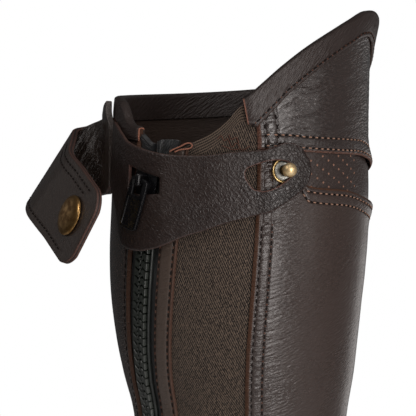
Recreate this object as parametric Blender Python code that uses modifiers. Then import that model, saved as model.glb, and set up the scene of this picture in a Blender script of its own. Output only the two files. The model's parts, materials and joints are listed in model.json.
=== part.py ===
"""A leather half chap for a right leg, in the hollow form that it has when worn.

Tables are in millimetres and degrees; the objects are in metres, +Z up. The front of the leg
faces -Y, its outer side -X, and the zip runs down its back, on +Y. An angle goes round the leg
from the back towards the outer side, and on round the front to the inner side. A depth goes
out from the inside of the cloth, and the origin is the middle of the calf at its widest.
"""
from bisect import bisect_right
from math import cos, degrees, hypot, pi, radians, sin, sqrt, tan

import bmesh
import bpy
from mathutils import Matrix, Vector

MM = 0.001
OBJECT_NAME = "half_chap"

# The inside of the cloth, from the hem up.
LEG = (
    # height, half_width, half_depth, centre_y
    (-345, 37.0, 52.0, -8.0),
    (-300, 34.0, 44.0, -3.0),
    (-260, 33.0, 40.6, -0.4),
    (-200, 34.2, 39.6, 0.0),
    (-140, 37.4, 41.2, 0.0),
    (-110, 39.6, 42.4, 0.0),
    (-94, 41.3, 43.3, 0.1),
    (-77, 43.8, 45.0, 0.3),
    (-60, 47.2, 48.7, 1.3),
    (-45, 49.5, 51.1, 2.2),
    (-30, 51.3, 52.9, 2.5),
    (-16, 52.5, 54.2, 2.0),
    (0, 53.1, 54.8, 1.1),
    (20, 53.0, 54.7, 0.1),
    (40, 52.3, 54.0, -0.3),
    (62, 51.7, 53.3, -1.5),
    (80, 51.5, 53.1, -2.6),
    (98, 52.2, 53.8, -6.6),
    (110, 52.6, 54.2, -8.5),
)

# The two lines that run down the back of the leg.
BACK_LINES = (
    # height, zip_angle, outer_edge_angle
    (-345, -14.0, 50.0),
    (-140, -13.0, 50.0),
    (-77, -8.8, 51.1),
    (-20, 1.2, 55.2),
    (8, 3.9, 55.8),
    (40, 6.5, 56.0),
    (60, 8.0, 53.0),
)

# The edges that run round the leg. The front seam is at 180 degrees.
FRONT_SEAM = 180.0
HEM = (
    # angle, height
    (0, -345), (60, -345), (120, -339), (180, -330), (240, -339), (300, -345), (360, -345),
)
OUTER_TOP = (
    # angle, height
    (50, 59.0), (58, 66.0), (66, 72.8), (77, 80.6), (88, 87.1), (100, 93.0), (111, 96.9),
    (118, 97.3), (127, 95.5), (138, 90.5), (155, 81.0), (180, 70.5),
)
INNER_TOP = (
    # angle, height
    (180, 70.5), (200, 66.0), (230, 63.0), (260, 61.5), (300, 60.5), (325, 60.2), (338, 59.0),
    (343, 55.0), (347, 50.3), (352, 47.6), (360, 46.6),
)
YOKE_FOOT = (
    # angle, height
    (50, 38.4), (70, 38.0), (79, 37.2), (98, 36.3), (115, 35.6), (128, 33.5), (138, 30.5),
    (150, 27.5), (180, 25.0),
)
OUTER_PANEL_HEAD = (
    # angle, height
    (50, 36.0), (68, 36.0), (72, 34.4), (76, 27.5), (80, 22.6), (92, 21.3), (101, 20.7),
    (110, 19.5), (119, 17.6), (129, 15.5), (138, 13.8), (150, 11.5), (180, 8.0),
)
ELASTIC_TOP = (
    # angle, height
    (15, 38.0), (22, 39.0), (27, 41.5), (33, 44.0), (38, 47.0), (42, 50.4), (49, 57.0),
    (60, 57.2),
)

# How the leather is layered, as depths.
UNDER = -0.2  # elastic, zip tapes and garter band
UNDER_THICKNESS = 1.2
LEATHER = 1.5  # panels, yoke and stay strip
LEATHER_THICKNESS = 1.4
OVER = 3.2  # keeper strap and the outer leg of a binding
STRAP_THICKNESS = 1.4
SEAM_GAP = 0.3
BAND_OVERLAP = 6.0  # how far the garter band runs under its neighbours

# Distances round the leg from the middle of the zip.
CHAIN_HALF = 4.6
CHAIN_THICKNESS = 2.0
TAPE_EDGE = 12.0
INNER_PANEL_EDGE = -9.2
STAY_STRIP = (8.3, 17.4)
ELASTIC_LEFT = 12.3
ELASTIC_TUCK = 3.0  # how far the elastic runs under the outer panel

ZIP_OPENING = (
    # height, half_gap between the tapes
    (-345, 0.3), (21, 0.3), (28, 1.1), (33, 1.2), (41, 0.8),
)
SLIDER_HEIGHT = 23.6
CHAIN_TOP = 21.0
ROW_TOP = 36.5
TAPE_TOP = 40.5
STAY_TOP = 38.6
ZIP_FOOT = 4.0  # clear height under the chain's stop

# Columns of faces across the two panels whose tops are bound.
INNER_COLUMNS = 26
INNER_CROWDING = 1.25
YOKE_COLUMNS = 18

# Bindings: a strip folded over the edge of the leather.
BINDING_WIDTH = 10.0
BINDING_THICKNESS = 1.2
SHORT_LEG = 4.0  # the inner leg over the zip's tape
HOOK_LEG = 0.6  # the inner leg over the elastic
BINDING_ROOM = 0.5  # between the bound edge and the strip
BINDING_SHEAR = 0.24  # degrees for each millimetre down the outer binding's cut back end

# The keeper strap's outline, its slot and its teardrop hole.
KEEPER = (
    # angle, low, high
    (-23.5, 24.0, 50.0),
    (-20.7, 19.9, 49.3),
    (-16.0, 14.0, 47.1),
    (-13.0, 8.0, 45.4),
    (-10.0, 0.6, 43.8),
    (-5.9, -3.3, 41.6),
    (0.0, -5.0, 39.6),
    (5.4, -5.2, 38.2),
    (12.5, -4.0, 36.8),
    (18.1, -2.0, 36.1),
    (25.0, 1.1, 35.8),
    (34.3, 4.0, 35.9),
    (42.6, 6.9, 36.9),
    (49.0, 8.7, 37.6),
    (55.4, 10.4, 37.9),
    (59.0, 11.2, 38.3),
    (62.2, 12.3, 39.4),
    (66.2, 14.6, 40.9),
    (69.9, 17.0, 41.1),
    (72.8, 19.2, 40.0),
    (75.2, 21.2, 38.4),
    (77.0, 23.2, 36.0),
    (78.5, 25.6, 33.4),
    (79.3, 28.4, 30.6),
)
SLOT = (
    # angle, low, high
    (-3.2, 19.6, 31.4),
    (5.0, 18.8, 28.8),
    (14.0, 19.4, 26.4),
)
TEARDROP = (
    # angle, low, high
    (50.4, 27.2, 28.6),
    (51.2, 25.2, 30.2),
    (53.7, 21.8, 31.4),
    (57.0, 20.7, 32.6),
    (60.0, 20.9, 33.5),
    (64.0, 22.5, 33.8),
    (67.5, 24.9, 33.3),
    (70.0, 26.9, 31.9),
    (71.4, 28.8, 30.0),
)
# How far the keeper strap stands off, over the inner binding, the slider and the stud's ring.
KEEPER_LIFT = (
    # angle, lift
    (-24, 1.6), (-12, 2.3), (-6, 3.0), (13, 2.9), (23, 1.2), (32, 0.2), (45, 0.0), (55, 0.6),
    (62, 1.7), (72, 1.7), (80, 1.3),
)

# Where a panel's edge curls off the leg at the front.
YOKE_CURL = (135.0, 2.0, 24.0)
PANEL_CURL = (136.0, 2.2, 24.0)
CURL_DEEP = 14.0  # how far from the edge the curl dies away

# The ball stud.
STUD_ANGLE = 67.4
STUD_HEIGHT = 29.3
STUD_RING = (
    # radius, out
    (0.0, 1.3), (3.9, 1.3), (4.4, 1.0), (5.3, 1.0), (5.3, 0.0), (0.0, 0.0),
)
BALL_RADIUS = 3.1
BALL_OUT = 7.2
POST_RADIUS = 1.9

# The closing flap: a flat strap with a round end, bent about slanting lines.
FLAP_WIDTH = 36.5
FLAP_THICKNESS = 2.8
FLAP_CORNER = 10.0
FLAP_ROOT_ANGLE = -28.0
FLAP_ROOT_HEIGHT = 39.1
FLAP_ROOT_DEPTH = 5.3
FLAP_DIP = 15.1  # how far the flap points down as it leaves its root
FLAP_LENGTH = 138.6
FLAP_BENDS = (
    # along, slant, turn, radius: a turn is towards the leg, and away from it if negative
    (0.0, 90.0, 6.0, 57.0),
    (12.2, 89.0, 17.7, 17.3),
    (20.9, 80.3, -79.3, 10.8),
    (46.9, 113.2, -128.7, 4.8),
    (76.9, 72.0, -25.8, 33.0),
)
CAP_FROM_END = 17.5
CAP_PROFILE = (
    # radius, out
    (0.0, 2.3), (4.0, 2.2), (6.6, 1.9), (8.4, 1.3), (9.0, 0.7), (9.0, 0.0), (0.0, 0.0),
)
SOCKET_PROFILE = (
    # radius, out
    (0.0, 1.2), (3.0, 1.2), (3.4, 2.4), (5.6, 2.4), (6.2, 1.6), (6.2, 0.0), (0.0, 0.0),
)

# The slider and its pull, in the slider's own frame: x across, y up the zip, z out.
ARCH_HALF_WIDTH = 1.3
ARCH_UP = 1.45  # its middle, above the slider's
ARCH_REACH = 2.75
ARCH_TOP = 7.6
ARCH_THICKNESS = 1.1
SLIDER_PLATE = (
    # up, half_width
    (-7.0, 5.2), (-3.0, 5.6), (4.0, 6.6), (7.0, 6.0),
)
PLATE_THICKNESS = 1.5
BACK_PLATE_ROOM = 0.8  # the back plate is flat, and the tapes go round the leg
SLIDER_OUT = 3.8  # depth of the outer plate's inner face
PULL_AXIS_UP = 1.45
PULL_AXIS_OUT = 4.9
PULL_TILT = 14.0
PULL_WIDTH = 10.0
PULL_LENGTH = 23.0
PULL_THICKNESS = 1.6
PULL_WINDOW = (5.0, 6.4)  # width and length
PULL_BAR = 1.6

COLOURS = {
    "leather": ((0.042, 0.029, 0.027, 1.0), 0.42, 0.0),
    "grained_leather": ((0.040, 0.028, 0.026, 1.0), 0.45, 0.0),
    "elastic": ((0.035, 0.028, 0.022, 1.0), 0.9, 0.0),
    "tape": ((0.010, 0.011, 0.012, 1.0), 0.8, 0.0),
    "teeth": ((0.012, 0.015, 0.014, 1.0), 0.35, 0.0),
    "black_metal": ((0.010, 0.011, 0.012, 1.0), 0.3, 0.6),
    "brass": ((0.62, 0.43, 0.18, 1.0), 0.28, 1.0),
    "old_brass": ((0.28, 0.16, 0.06, 1.0), 0.38, 1.0),
}


def follow(rows, at, column=1):
    """The value of a column where the first column is at, on a curve with no overshoot."""
    keys = [row[0] for row in rows]
    at = min(max(at, keys[0]), keys[-1])
    k = min(bisect_right(keys, at), len(keys) - 1) - 1

    def secant(i):
        return (rows[i + 1][column] - rows[i][column]) / (keys[i + 1] - keys[i])

    def slope(i):
        if i == 0 or i == len(keys) - 1:
            return secant(min(i, len(keys) - 2))
        before, after = secant(i - 1), secant(i)
        return 2 * before * after / (before + after) if before * after > 0 else 0.0

    width = keys[k + 1] - keys[k]
    t = (at - keys[k]) / width
    return ((2 * t ** 3 - 3 * t ** 2 + 1) * rows[k][column]
            + (t ** 3 - 2 * t ** 2 + t) * width * slope(k)
            + (3 * t ** 2 - 2 * t ** 3) * rows[k + 1][column]
            + (t ** 3 - t ** 2) * width * slope(k + 1))


def bump(at, middle, rise, reach):
    """A soft hump of the given rise, gone at reach from its middle."""
    away = abs(at - middle) / reach
    return rise * (1 - away ** 2) ** 2 if away < 1 else 0.0


def leg_point(angle, height, depth):
    """A point round the leg, in metres."""
    half_width, half_depth, centre_y = (follow(LEG, height, column) for column in (1, 2, 3))
    across, along = -sin(radians(angle)), cos(radians(angle))
    out = Vector((across / half_width, along / half_depth, 0)).normalized() * depth
    middle = Vector((half_width * across, centre_y + half_depth * along, height))
    return (middle + out) * MM


def leg_frame(angle, height, depth, turn=0.0):
    """A frame on the leg: x across towards larger angles, y up, z out."""
    spot = leg_point(angle, height, depth)
    across = (leg_point(angle + 1, height, depth) - leg_point(angle - 1, height, depth))
    up = (leg_point(angle, height + 2, depth) - leg_point(angle, height - 2, depth))
    out = across.cross(up).normalized()
    up = (up - out * up.dot(out)).normalized()
    axes = Matrix((up.cross(out), up, out)).transposed().to_4x4()
    return Matrix.Translation(spot) @ axes @ Matrix.Rotation(radians(turn), 4, "Z")


def degrees_round(distance, height):
    """The angle that a distance round the back of the leg covers."""
    radius = (follow(LEG, height, 1) + follow(LEG, height, 2)) / 2 + LEATHER
    return degrees(distance / radius)


def from_zip(distance):
    """A line that keeps a distance from the middle of the zip."""
    return lambda height: follow(BACK_LINES, height, 1) + degrees_round(distance, height)


def outer_edge(tuck=0.0):
    """The back edge of the outer panel and the yoke, or a line tucked under it."""
    return lambda height: follow(BACK_LINES, height, 2) + degrees_round(tuck, height)


def level(value):
    return lambda angle: value


def edge(rows, shift=0.0):
    return lambda angle: follow(rows, angle % 360 if rows is not INNER_TOP else angle) + shift


def new_material(name):
    colour, roughness, metallic = COLOURS[name]
    material = bpy.data.materials.get(name) or bpy.data.materials.new(name)
    material.use_nodes = True
    shader = material.node_tree.nodes["Principled BSDF"]
    shader.inputs["Base Color"].default_value = colour
    shader.inputs["Roughness"].default_value = roughness
    shader.inputs["Metallic"].default_value = metallic
    return material


def add_object(name, bm, material):
    """An object from a mesh in the making, in the part's collection."""
    mesh = bpy.data.meshes.new(name)
    bm.to_mesh(mesh)
    bm.free()
    mesh.materials.append(new_material(material))
    obj = bpy.data.objects.new(name, mesh)
    bpy.data.collections[OBJECT_NAME].objects.link(obj)
    return obj


def thicken(obj, thickness, side=1.0):
    """Give an open sheet its thickness."""
    wall = obj.modifiers.new("wall", "SOLIDIFY")
    wall.thickness = thickness * MM
    wall.offset = side
    wall.use_even_offset = True
    return obj


def sheet(name, columns, rows, place, material):
    """An open sheet: place gives a point for each share across and share up."""
    bm = bmesh.new()
    bmesh.ops.create_grid(bm, x_segments=columns, y_segments=rows, size=0.5)
    for vertex in bm.verts:
        vertex.co = place(vertex.co.x + 0.5, vertex.co.y + 0.5)
    return add_object(name, bm, material)


def crowd(share):
    """Shares across the inner panel, closer together towards the zip."""
    return 1 - (1 - share) ** INNER_CROWDING


def panel(name, left, right, low, high, columns, rows, material,
          depth=LEATHER, thickness=LEATHER_THICKNESS, lift=None, spread=float):
    """A panel on the leg between two lines that run down it and two that run round it."""

    def place(across, up):
        across = spread(across)
        height = low(90) + (high(90) - low(90)) * up
        for _ in range(6):
            angle = left(height) + (right(height) - left(height)) * across
            height = low(angle) + (high(angle) - low(angle)) * up
        extra = lift(angle, height) if lift else 0.0
        return leg_point(angle, height, depth + extra)

    return thicken(sheet(name, columns, rows, place, material), thickness)


def curl(shape, line):
    """The lift of a panel's edge that curls off the leg."""
    def lift(angle, height):
        fade = max(0.0, 1 - abs(height - line(angle)) / CURL_DEEP)
        return bump(angle, *shape) * fade ** 2
    return lift


def seam_angle():
    """Half of the front seam's gap, as an angle."""
    return degrees(SEAM_GAP / 2 / follow(LEG, 0, 2))


def build_panels():
    seam = seam_angle()
    front = lambda height: FRONT_SEAM - seam
    panel("outer_panel", outer_edge(), front, edge(HEM), edge(OUTER_PANEL_HEAD), 18, 26,
          "leather", lift=curl(PANEL_CURL, edge(OUTER_PANEL_HEAD)))
    panel("yoke", outer_edge(), front, edge(YOKE_FOOT), edge(OUTER_TOP), YOKE_COLUMNS, 6,
          "grained_leather", lift=curl(YOKE_CURL, edge(YOKE_FOOT)))
    panel("garter_band", level(61.0), front, edge(OUTER_PANEL_HEAD, -BAND_OVERLAP),
          edge(YOKE_FOOT, BAND_OVERLAP), 16, 3, "leather", UNDER, UNDER_THICKNESS)
    panel("inner_panel", lambda height: FRONT_SEAM + seam,
          lambda height: 360 + from_zip(INNER_PANEL_EDGE)(height),
          edge(HEM), edge(INNER_TOP), INNER_COLUMNS, 29, "leather", spread=crowd)
    panel("elastic_gusset", from_zip(ELASTIC_LEFT), outer_edge(ELASTIC_TUCK), edge(HEM),
          edge(ELASTIC_TOP), 6, 29, "elastic", UNDER, UNDER_THICKNESS)
    panel("stay_strip", from_zip(STAY_STRIP[0]), from_zip(STAY_STRIP[1]), edge(HEM),
          level(STAY_TOP), 2, 29, "leather")


def build_binding(name, angles, top, inner_leg, shear, material):
    """A strip folded over a top edge, with a section at each of the angles."""
    inner_face = LEATHER - BINDING_ROOM
    half = LEATHER_THICKNESS / 2 + BINDING_ROOM
    middle = inner_face + half

    def place(along, across):
        angle = angles[round(along * (len(angles) - 1))]
        rise = (top(angle + 1) - top(angle - 1)) / 2
        slope = min(hypot(1.0, rise / radians(follow(LEG, 60, 1))), 1.35)
        turn = across * 8
        if turn <= 3:
            depth, drop = middle + half, BINDING_WIDTH * slope * (1 - turn / 3)
        elif turn >= 5:
            depth, drop = middle - half, inner_leg(angle) * slope * (turn - 5) / 3
        else:
            swing = (turn - 3) / 2 * pi
            depth, drop = middle + half * cos(swing), -BINDING_ROOM * sin(swing)
        return leg_point(angle + shear(angle) * drop, top(angle) - drop, depth)

    thicken(sheet(name, len(angles) - 1, 8, place, material), BINDING_THICKNESS, 1.0)


def build_bindings():
    start = 48.8
    seam = seam_angle()
    left = outer_edge()(66.0)
    across = [i / YOKE_COLUMNS for i in range(YOKE_COLUMNS + 1)]
    angles = [start] + [left + (FRONT_SEAM - seam - left) * share for share in across]
    build_binding("outer_top_binding", angles, edge(OUTER_TOP),
                  lambda angle: HOOK_LEG if angle < 63 else BINDING_WIDTH,
                  lambda angle: BINDING_SHEAR * max(0.0, 1 - (angle - start) / 20), "leather")
    right = 360 + from_zip(INNER_PANEL_EDGE)(47.0)
    across = [crowd(i / INNER_COLUMNS) for i in range(INNER_COLUMNS + 1)]
    angles = [FRONT_SEAM + seam + (right - FRONT_SEAM - seam) * share for share in across]
    build_binding("inner_top_binding", angles, edge(INNER_TOP),
                  lambda angle: BINDING_WIDTH if angle < 352 else SHORT_LEG,
                  level(0.0), "leather")


def build_zip():
    def inside(side):
        return lambda height: (follow(BACK_LINES, height, 1)
                               + side * degrees_round(follow(ZIP_OPENING, height), height))

    def row_edge(side, width):
        return lambda height: inside(side)(height) + side * degrees_round(width, height)

    foot = edge(HEM, ZIP_FOOT + 3)
    chain_depth = LEATHER
    tape = dict(columns=2, rows=29, material="tape", depth=UNDER, thickness=UNDER_THICKNESS)
    panel("zip_tape_left", from_zip(-TAPE_EDGE), inside(-1), edge(HEM), level(TAPE_TOP), **tape)
    panel("zip_tape_right", inside(1), from_zip(TAPE_EDGE), edge(HEM), level(TAPE_TOP), **tape)
    panel("zip_chain", from_zip(-CHAIN_HALF), from_zip(CHAIN_HALF), foot, level(CHAIN_TOP),
          2, 28, "teeth", chain_depth, CHAIN_THICKNESS)
    row = dict(columns=1, rows=4, material="teeth", depth=chain_depth,
               thickness=CHAIN_THICKNESS)
    low, high = level(CHAIN_TOP + SEAM_GAP), level(ROW_TOP)
    panel("zip_row_left", row_edge(-1, 4.3), inside(-1), low, high, **row)
    panel("zip_row_right", inside(1), row_edge(1, 4.3), low, high, **row)
    panel("zip_stop", from_zip(-CHAIN_HALF), from_zip(CHAIN_HALF), edge(HEM, 1.5),
          edge(HEM, ZIP_FOOT + 3 - SEAM_GAP), 2, 1, "black_metal", chain_depth, 2.4)


def slider_frame():
    """The slider's frame on the zip: x across, y up the zip, z out."""
    zip_angle = follow(BACK_LINES, SLIDER_HEIGHT, 1)
    frame = leg_frame(zip_angle, SLIDER_HEIGHT, SLIDER_OUT)
    above = leg_point(from_zip(0)(SLIDER_HEIGHT + 7), SLIDER_HEIGHT + 7, SLIDER_OUT)
    below = leg_point(from_zip(0)(SLIDER_HEIGHT - 7), SLIDER_HEIGHT - 7, SLIDER_OUT)
    run = frame.inverted().to_3x3() @ (above - below)
    lean = -degrees(Vector((0, 1)).angle_signed(run.xy))
    return frame @ Matrix.Rotation(radians(lean), 4, "Z")


def box(bm, low, high):
    """A box between two corners, in millimetres."""
    low, high = Vector(low) * MM, Vector(high) * MM
    size = high - low
    place = Matrix.Translation((low + high) / 2) @ Matrix.Diagonal((*size, 1))
    bmesh.ops.create_cube(bm, size=1.0, matrix=place)


def plate(bm, outline, low, high):
    """A plate with a symmetric outline of (up, half_width) rows, between two heights."""
    ring = [(width, up) for up, width in outline] + [(-width, up) for up, width in
                                                     reversed(outline)]
    face = bm.faces.new([bm.verts.new((x * MM, y * MM, low * MM)) for x, y in ring])
    grown = bmesh.ops.extrude_face_region(bm, geom=[face])["geom"]
    tops = [item for item in grown if isinstance(item, bmesh.types.BMVert)]
    bmesh.ops.translate(bm, verts=tops, vec=(0, 0, (high - low) * MM))
    bmesh.ops.recalc_face_normals(bm, faces=bm.faces)


def join_with(obj, other):
    """Fuse another solid into an object and drop the other."""
    union = obj.modifiers.new("join", "BOOLEAN")
    union.operation = "UNION"
    union.solver = "EXACT"
    union.object = other
    hide_cutter(other)


def cut_with(obj, cutter):
    cut = obj.modifiers.new("cut", "BOOLEAN")
    cut.operation = "DIFFERENCE"
    cut.solver = "EXACT"
    cut.object = cutter
    hide_cutter(cutter)


def hide_cutter(obj):
    obj.hide_render = True
    obj.display_type = "WIRE"
    for collection in obj.users_collection:
        collection.objects.unlink(obj)
    bpy.data.collections["cutters"].objects.link(obj)


def build_slider():
    frame = slider_frame()
    bm = bmesh.new()
    plate(bm, SLIDER_PLATE, 0.0, PLATE_THICKNESS)
    slider = add_object("slider", bm, "black_metal")

    bm = bmesh.new()
    inner_face = UNDER - SLIDER_OUT - BACK_PLATE_ROOM
    plate(bm, SLIDER_PLATE, inner_face - PLATE_THICKNESS, inner_face)
    back = add_object("slider_back_plate", bm, "black_metal")

    bm = bmesh.new()
    box(bm, (-0.6, 4.6, inner_face - 0.6), (0.6, 6.4, 0.6))
    wedge = add_object("slider_wedge", bm, "black_metal")

    wide, reach, thick = ARCH_HALF_WIDTH, ARCH_REACH, ARCH_THICKNESS
    bm = bmesh.new()
    box(bm, (-wide, ARCH_UP - reach, 1.0), (wide, ARCH_UP + reach, ARCH_TOP))
    arch = add_object("slider_arch", bm, "black_metal")
    round_edges(arch, 1.0, 2)
    bm = bmesh.new()
    box(bm, (-wide - 1, ARCH_UP + thick - reach, PLATE_THICKNESS),
        (wide + 1, ARCH_UP + reach - thick, ARCH_TOP - thick))
    window = add_object("slider_arch_window", bm, "black_metal")
    cut_with(arch, window)
    for piece in (back, wedge, arch):
        join_with(slider, piece)
    for piece in (slider, back, wedge, arch, window):
        piece.matrix_world = frame
    return frame


def round_edges(obj, width, segments):
    bevel = obj.modifiers.new("round", "BEVEL")
    bevel.width = width * MM
    bevel.segments = segments
    bevel.limit_method = "ANGLE"


def build_pull(frame):
    """The pull, with its origin on its hinge axis, hanging from the arch."""
    place = (frame @ Matrix.Translation(Vector((0, PULL_AXIS_UP, PULL_AXIS_OUT)) * MM)
             @ Matrix.Rotation(radians(-PULL_TILT), 4, "Z"))
    axis = bpy.data.objects.new("pull_axis", None)
    bpy.data.collections[OBJECT_NAME].objects.link(axis)
    axis.matrix_world = place
    half, half_thick = PULL_WIDTH / 2, PULL_THICKNESS / 2
    bm = bmesh.new()
    box(bm, (-half, PULL_BAR / 2 - PULL_LENGTH, -half_thick), (half, PULL_BAR / 2, half_thick))
    pull = add_object("zip_pull", bm, "black_metal")
    upright = [e for e in range(12) if abs(
        pull.data.vertices[pull.data.edges[e].vertices[0]].co.z
        - pull.data.vertices[pull.data.edges[e].vertices[1]].co.z) > half_thick * MM]
    bevel_weights = pull.data.attributes.new("bevel_weight_edge", "FLOAT", "EDGE")
    for e in upright:
        bevel_weights.data[e].value = 1.0
    bevel = pull.modifiers.new("corners", "BEVEL")
    bevel.width = 2.0 * MM
    bevel.segments = 3
    bevel.limit_method = "WEIGHT"
    width, length = PULL_WINDOW
    bm = bmesh.new()
    box(bm, (-width / 2, -PULL_BAR / 2 - length, -3), (width / 2, -PULL_BAR / 2, 3))
    window = add_object("pull_window", bm, "black_metal")
    cut_with(pull, window)
    bm = bmesh.new()
    margin = 1.3
    box(bm, (-half + margin, PULL_BAR / 2 - PULL_LENGTH + margin, half_thick - 0.4),
        (half - margin, -PULL_BAR / 2 - length - margin, 3))
    tray = add_object("pull_tray", bm, "black_metal")
    cut_with(pull, tray)
    for piece in (pull, window, tray):
        piece.parent = axis


def wrap_cutter(name, rows, low_depth, high_depth):
    """A solid that runs straight out of the leg, with an outline of (angle, low, high) rows."""
    bm = bmesh.new()
    rings = []
    for depth in (low_depth, high_depth):
        ring = [bm.verts.new(leg_point(angle, low, depth)) for angle, low, high in rows]
        ring += [bm.verts.new(leg_point(angle, high, depth)) for angle, low, high in
                 reversed(rows)]
        rings.append(ring)
    count = len(rings[0])
    for i in range(count):
        j = (i + 1) % count
        bm.faces.new((rings[0][i], rings[0][j], rings[1][j], rings[1][i]))
    for ring in rings:
        for i in range(len(rows) - 1):
            bm.faces.new((ring[i], ring[i + 1], ring[count - 2 - i], ring[count - 1 - i]))
    bmesh.ops.recalc_face_normals(bm, faces=bm.faces)
    return add_object(name, bm, "leather")


def build_keeper():
    columns, rows = len(KEEPER) - 1, 5

    def place(across, up):
        angle, low, high = KEEPER[round(across * columns)]
        height = low + (high - low) * up
        return leg_point(angle, height, OVER + follow(KEEPER_LIFT, angle))

    keeper = sheet("keeper_strap", columns, rows, place, "grained_leather")
    thicken(keeper, STRAP_THICKNESS)
    cut_with(keeper, wrap_cutter("keeper_slot", SLOT, 2.0, 14.0))
    cut_with(keeper, wrap_cutter("keeper_teardrop", TEARDROP, 2.0, 14.0))


def turned(name, profile, segments, place, material):
    """A turned piece: its profile runs from the middle of its top down its outer side."""
    bm = bmesh.new()
    ring = [bm.verts.new((radius * MM, 0, out * MM)) for radius, out in profile]
    for upper, lower in zip(ring, ring[1:]):
        bm.edges.new((upper, lower))
    obj = add_object(name, bm, material)
    screw = obj.modifiers.new("turn", "SCREW")
    screw.axis = "Z"
    screw.steps = segments
    screw.render_steps = segments
    screw.use_merge_vertices = True
    screw.merge_threshold = 0.00001
    obj.matrix_world = place
    return obj


def build_stud():
    frame = leg_frame(STUD_ANGLE, STUD_HEIGHT, OVER)
    ring = [(radius, out) for radius, out in STUD_RING if radius or out]
    turned("stud_ring", ring + [(0.0, 0.0)], 28, frame, "brass")
    ball = [(BALL_RADIUS * sin(radians(a)), BALL_OUT + BALL_RADIUS * cos(radians(a)))
            for a in range(0, 140, 18)]
    foot = STUD_RING[0][1] + SEAM_GAP
    profile = ball + [(POST_RADIUS, BALL_OUT - BALL_RADIUS), (POST_RADIUS, foot), (0.0, foot)]
    turned("ball_stud", profile, 24, frame, "brass")


def bend(point, flat, along, slant, turn, radius):
    """Bend a strap about a slanting line: flat is the point's place before any bend."""
    side = 1.0 if turn >= 0 else -1.0
    turn = abs(radians(turn))
    line = Vector((cos(radians(slant)), sin(radians(slant))))
    on = Vector((line.y, -line.x))
    past = (flat - Vector((along, 0))).dot(on)
    place = point.xy - Vector((along, 0))
    swing = min(max(past / radius, 0.0), turn)
    run = place.dot(on)
    if past > 0:
        run = run - radius * turn if past > radius * turn else 0.0
    rise = point.z * side - radius
    new_run = run * cos(swing) - rise * sin(swing)
    new_rise = radius + run * sin(swing) + rise * cos(swing)
    spot = Vector((along, 0)) + on * new_run + line * place.dot(line)
    return Vector((spot.x, spot.y, new_rise * side))


def flap_point(along, across, out):
    """A point of the closing flap in its root's frame: x along, y up, z out."""
    flat = Vector((along, across))
    point = Vector((along, across, out))
    for row in reversed(FLAP_BENDS):
        point = bend(point, flat, *row)
    return point


def flap_frame():
    """The flap's root: x runs round the leg away from the zip, y up, z out of the leg."""
    frame = leg_frame(FLAP_ROOT_ANGLE, FLAP_ROOT_HEIGHT,
                      FLAP_ROOT_DEPTH + FLAP_THICKNESS / 2)
    return frame @ Matrix.Rotation(pi, 4, "Y") @ Matrix.Rotation(-radians(FLAP_DIP), 4, "Z")


def flap_columns():
    """Where each column of the flap crosses its lower and its upper edge, along the bends."""
    half = FLAP_WIDTH / 2
    columns = []
    for along, slant, turn, radius in FLAP_BENDS:
        lean = half / tan(radians(slant))
        arc = radius * abs(radians(turn)) / sin(radians(slant))
        steps = max(2, round(abs(turn) / 12))
        columns += [(along - lean + arc * i / steps, along + lean + arc * i / steps)
                    for i in range(steps + 1)]
    start = FLAP_LENGTH - FLAP_CORNER
    lower, upper = columns[-1]
    columns.append(((lower + start) / 2, (upper + start) / 2))
    for swing in range(0, 91, 18):
        end = start + FLAP_CORNER * sin(radians(swing))
        columns.append((end, end))
    return columns


def build_flap():
    frame = flap_frame()
    half = FLAP_WIDTH / 2
    columns = flap_columns()

    def place(share, up):
        lower, upper = columns[round(share * (len(columns) - 1))]
        along = lower + (upper - lower) * up
        past = max(0.0, along - (FLAP_LENGTH - FLAP_CORNER))
        reach = half - FLAP_CORNER + sqrt(max(FLAP_CORNER ** 2 - past ** 2, 0.0))
        return frame @ (flap_point(along, reach * (2 * up - 1), 0.0) * MM)

    flap = sheet("closing_flap", len(columns) - 1, 4, place, "leather")
    thicken(flap, FLAP_THICKNESS, 0.0)
    build_snap(frame)


def build_snap(frame):
    """The cap on the flap's outer face and the socket on its inner face."""
    along = FLAP_LENGTH - CAP_FROM_END
    spot = frame @ (flap_point(along, 0.0, 0.0) * MM)
    ahead = frame @ (flap_point(along + 1, 0.0, 0.0) * MM) - spot
    beside = frame @ (flap_point(along, 1.0, 0.0) * MM) - spot
    out = ahead.cross(beside).normalized()
    ahead = ahead.normalized()
    for name, profile, side, material in (
            ("snap_cap", CAP_PROFILE, 1, "old_brass"),
            ("snap_socket", SOCKET_PROFILE, -1, "brass")):
        normal = out * side
        axes = Matrix((ahead, normal.cross(ahead), normal)).transposed().to_4x4()
        lift = normal * (FLAP_THICKNESS / 2 + SEAM_GAP) * MM
        turned(name, profile, 32, Matrix.Translation(spot + lift) @ axes, material)


def build():
    for name in (OBJECT_NAME, "cutters"):
        bpy.context.scene.collection.children.link(bpy.data.collections.new(name))
    build_panels()
    build_bindings()
    build_zip()
    build_pull(build_slider())
    build_keeper()
    build_stud()
    build_flap()


for old in list(bpy.data.objects):
    bpy.data.objects.remove(old, do_unlink=True)
build()
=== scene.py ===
"""The finish of a leather half chap: its hides, thread, elastic, zip and brass.

Tables are in millimetres and degrees, and those of the form are the part's own; the meshes are
in metres. An angle goes round the half chap from its back towards the outer side, on round the
front to the inner side, and a depth goes out from the inside of the cloth.
"""
import json
from math import cos, pi, radians, sin, tan

import bmesh
import bpy
import numpy as np
from mathutils import Matrix, Vector
from mathutils.geometry import delaunay_2d_cdt

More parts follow.
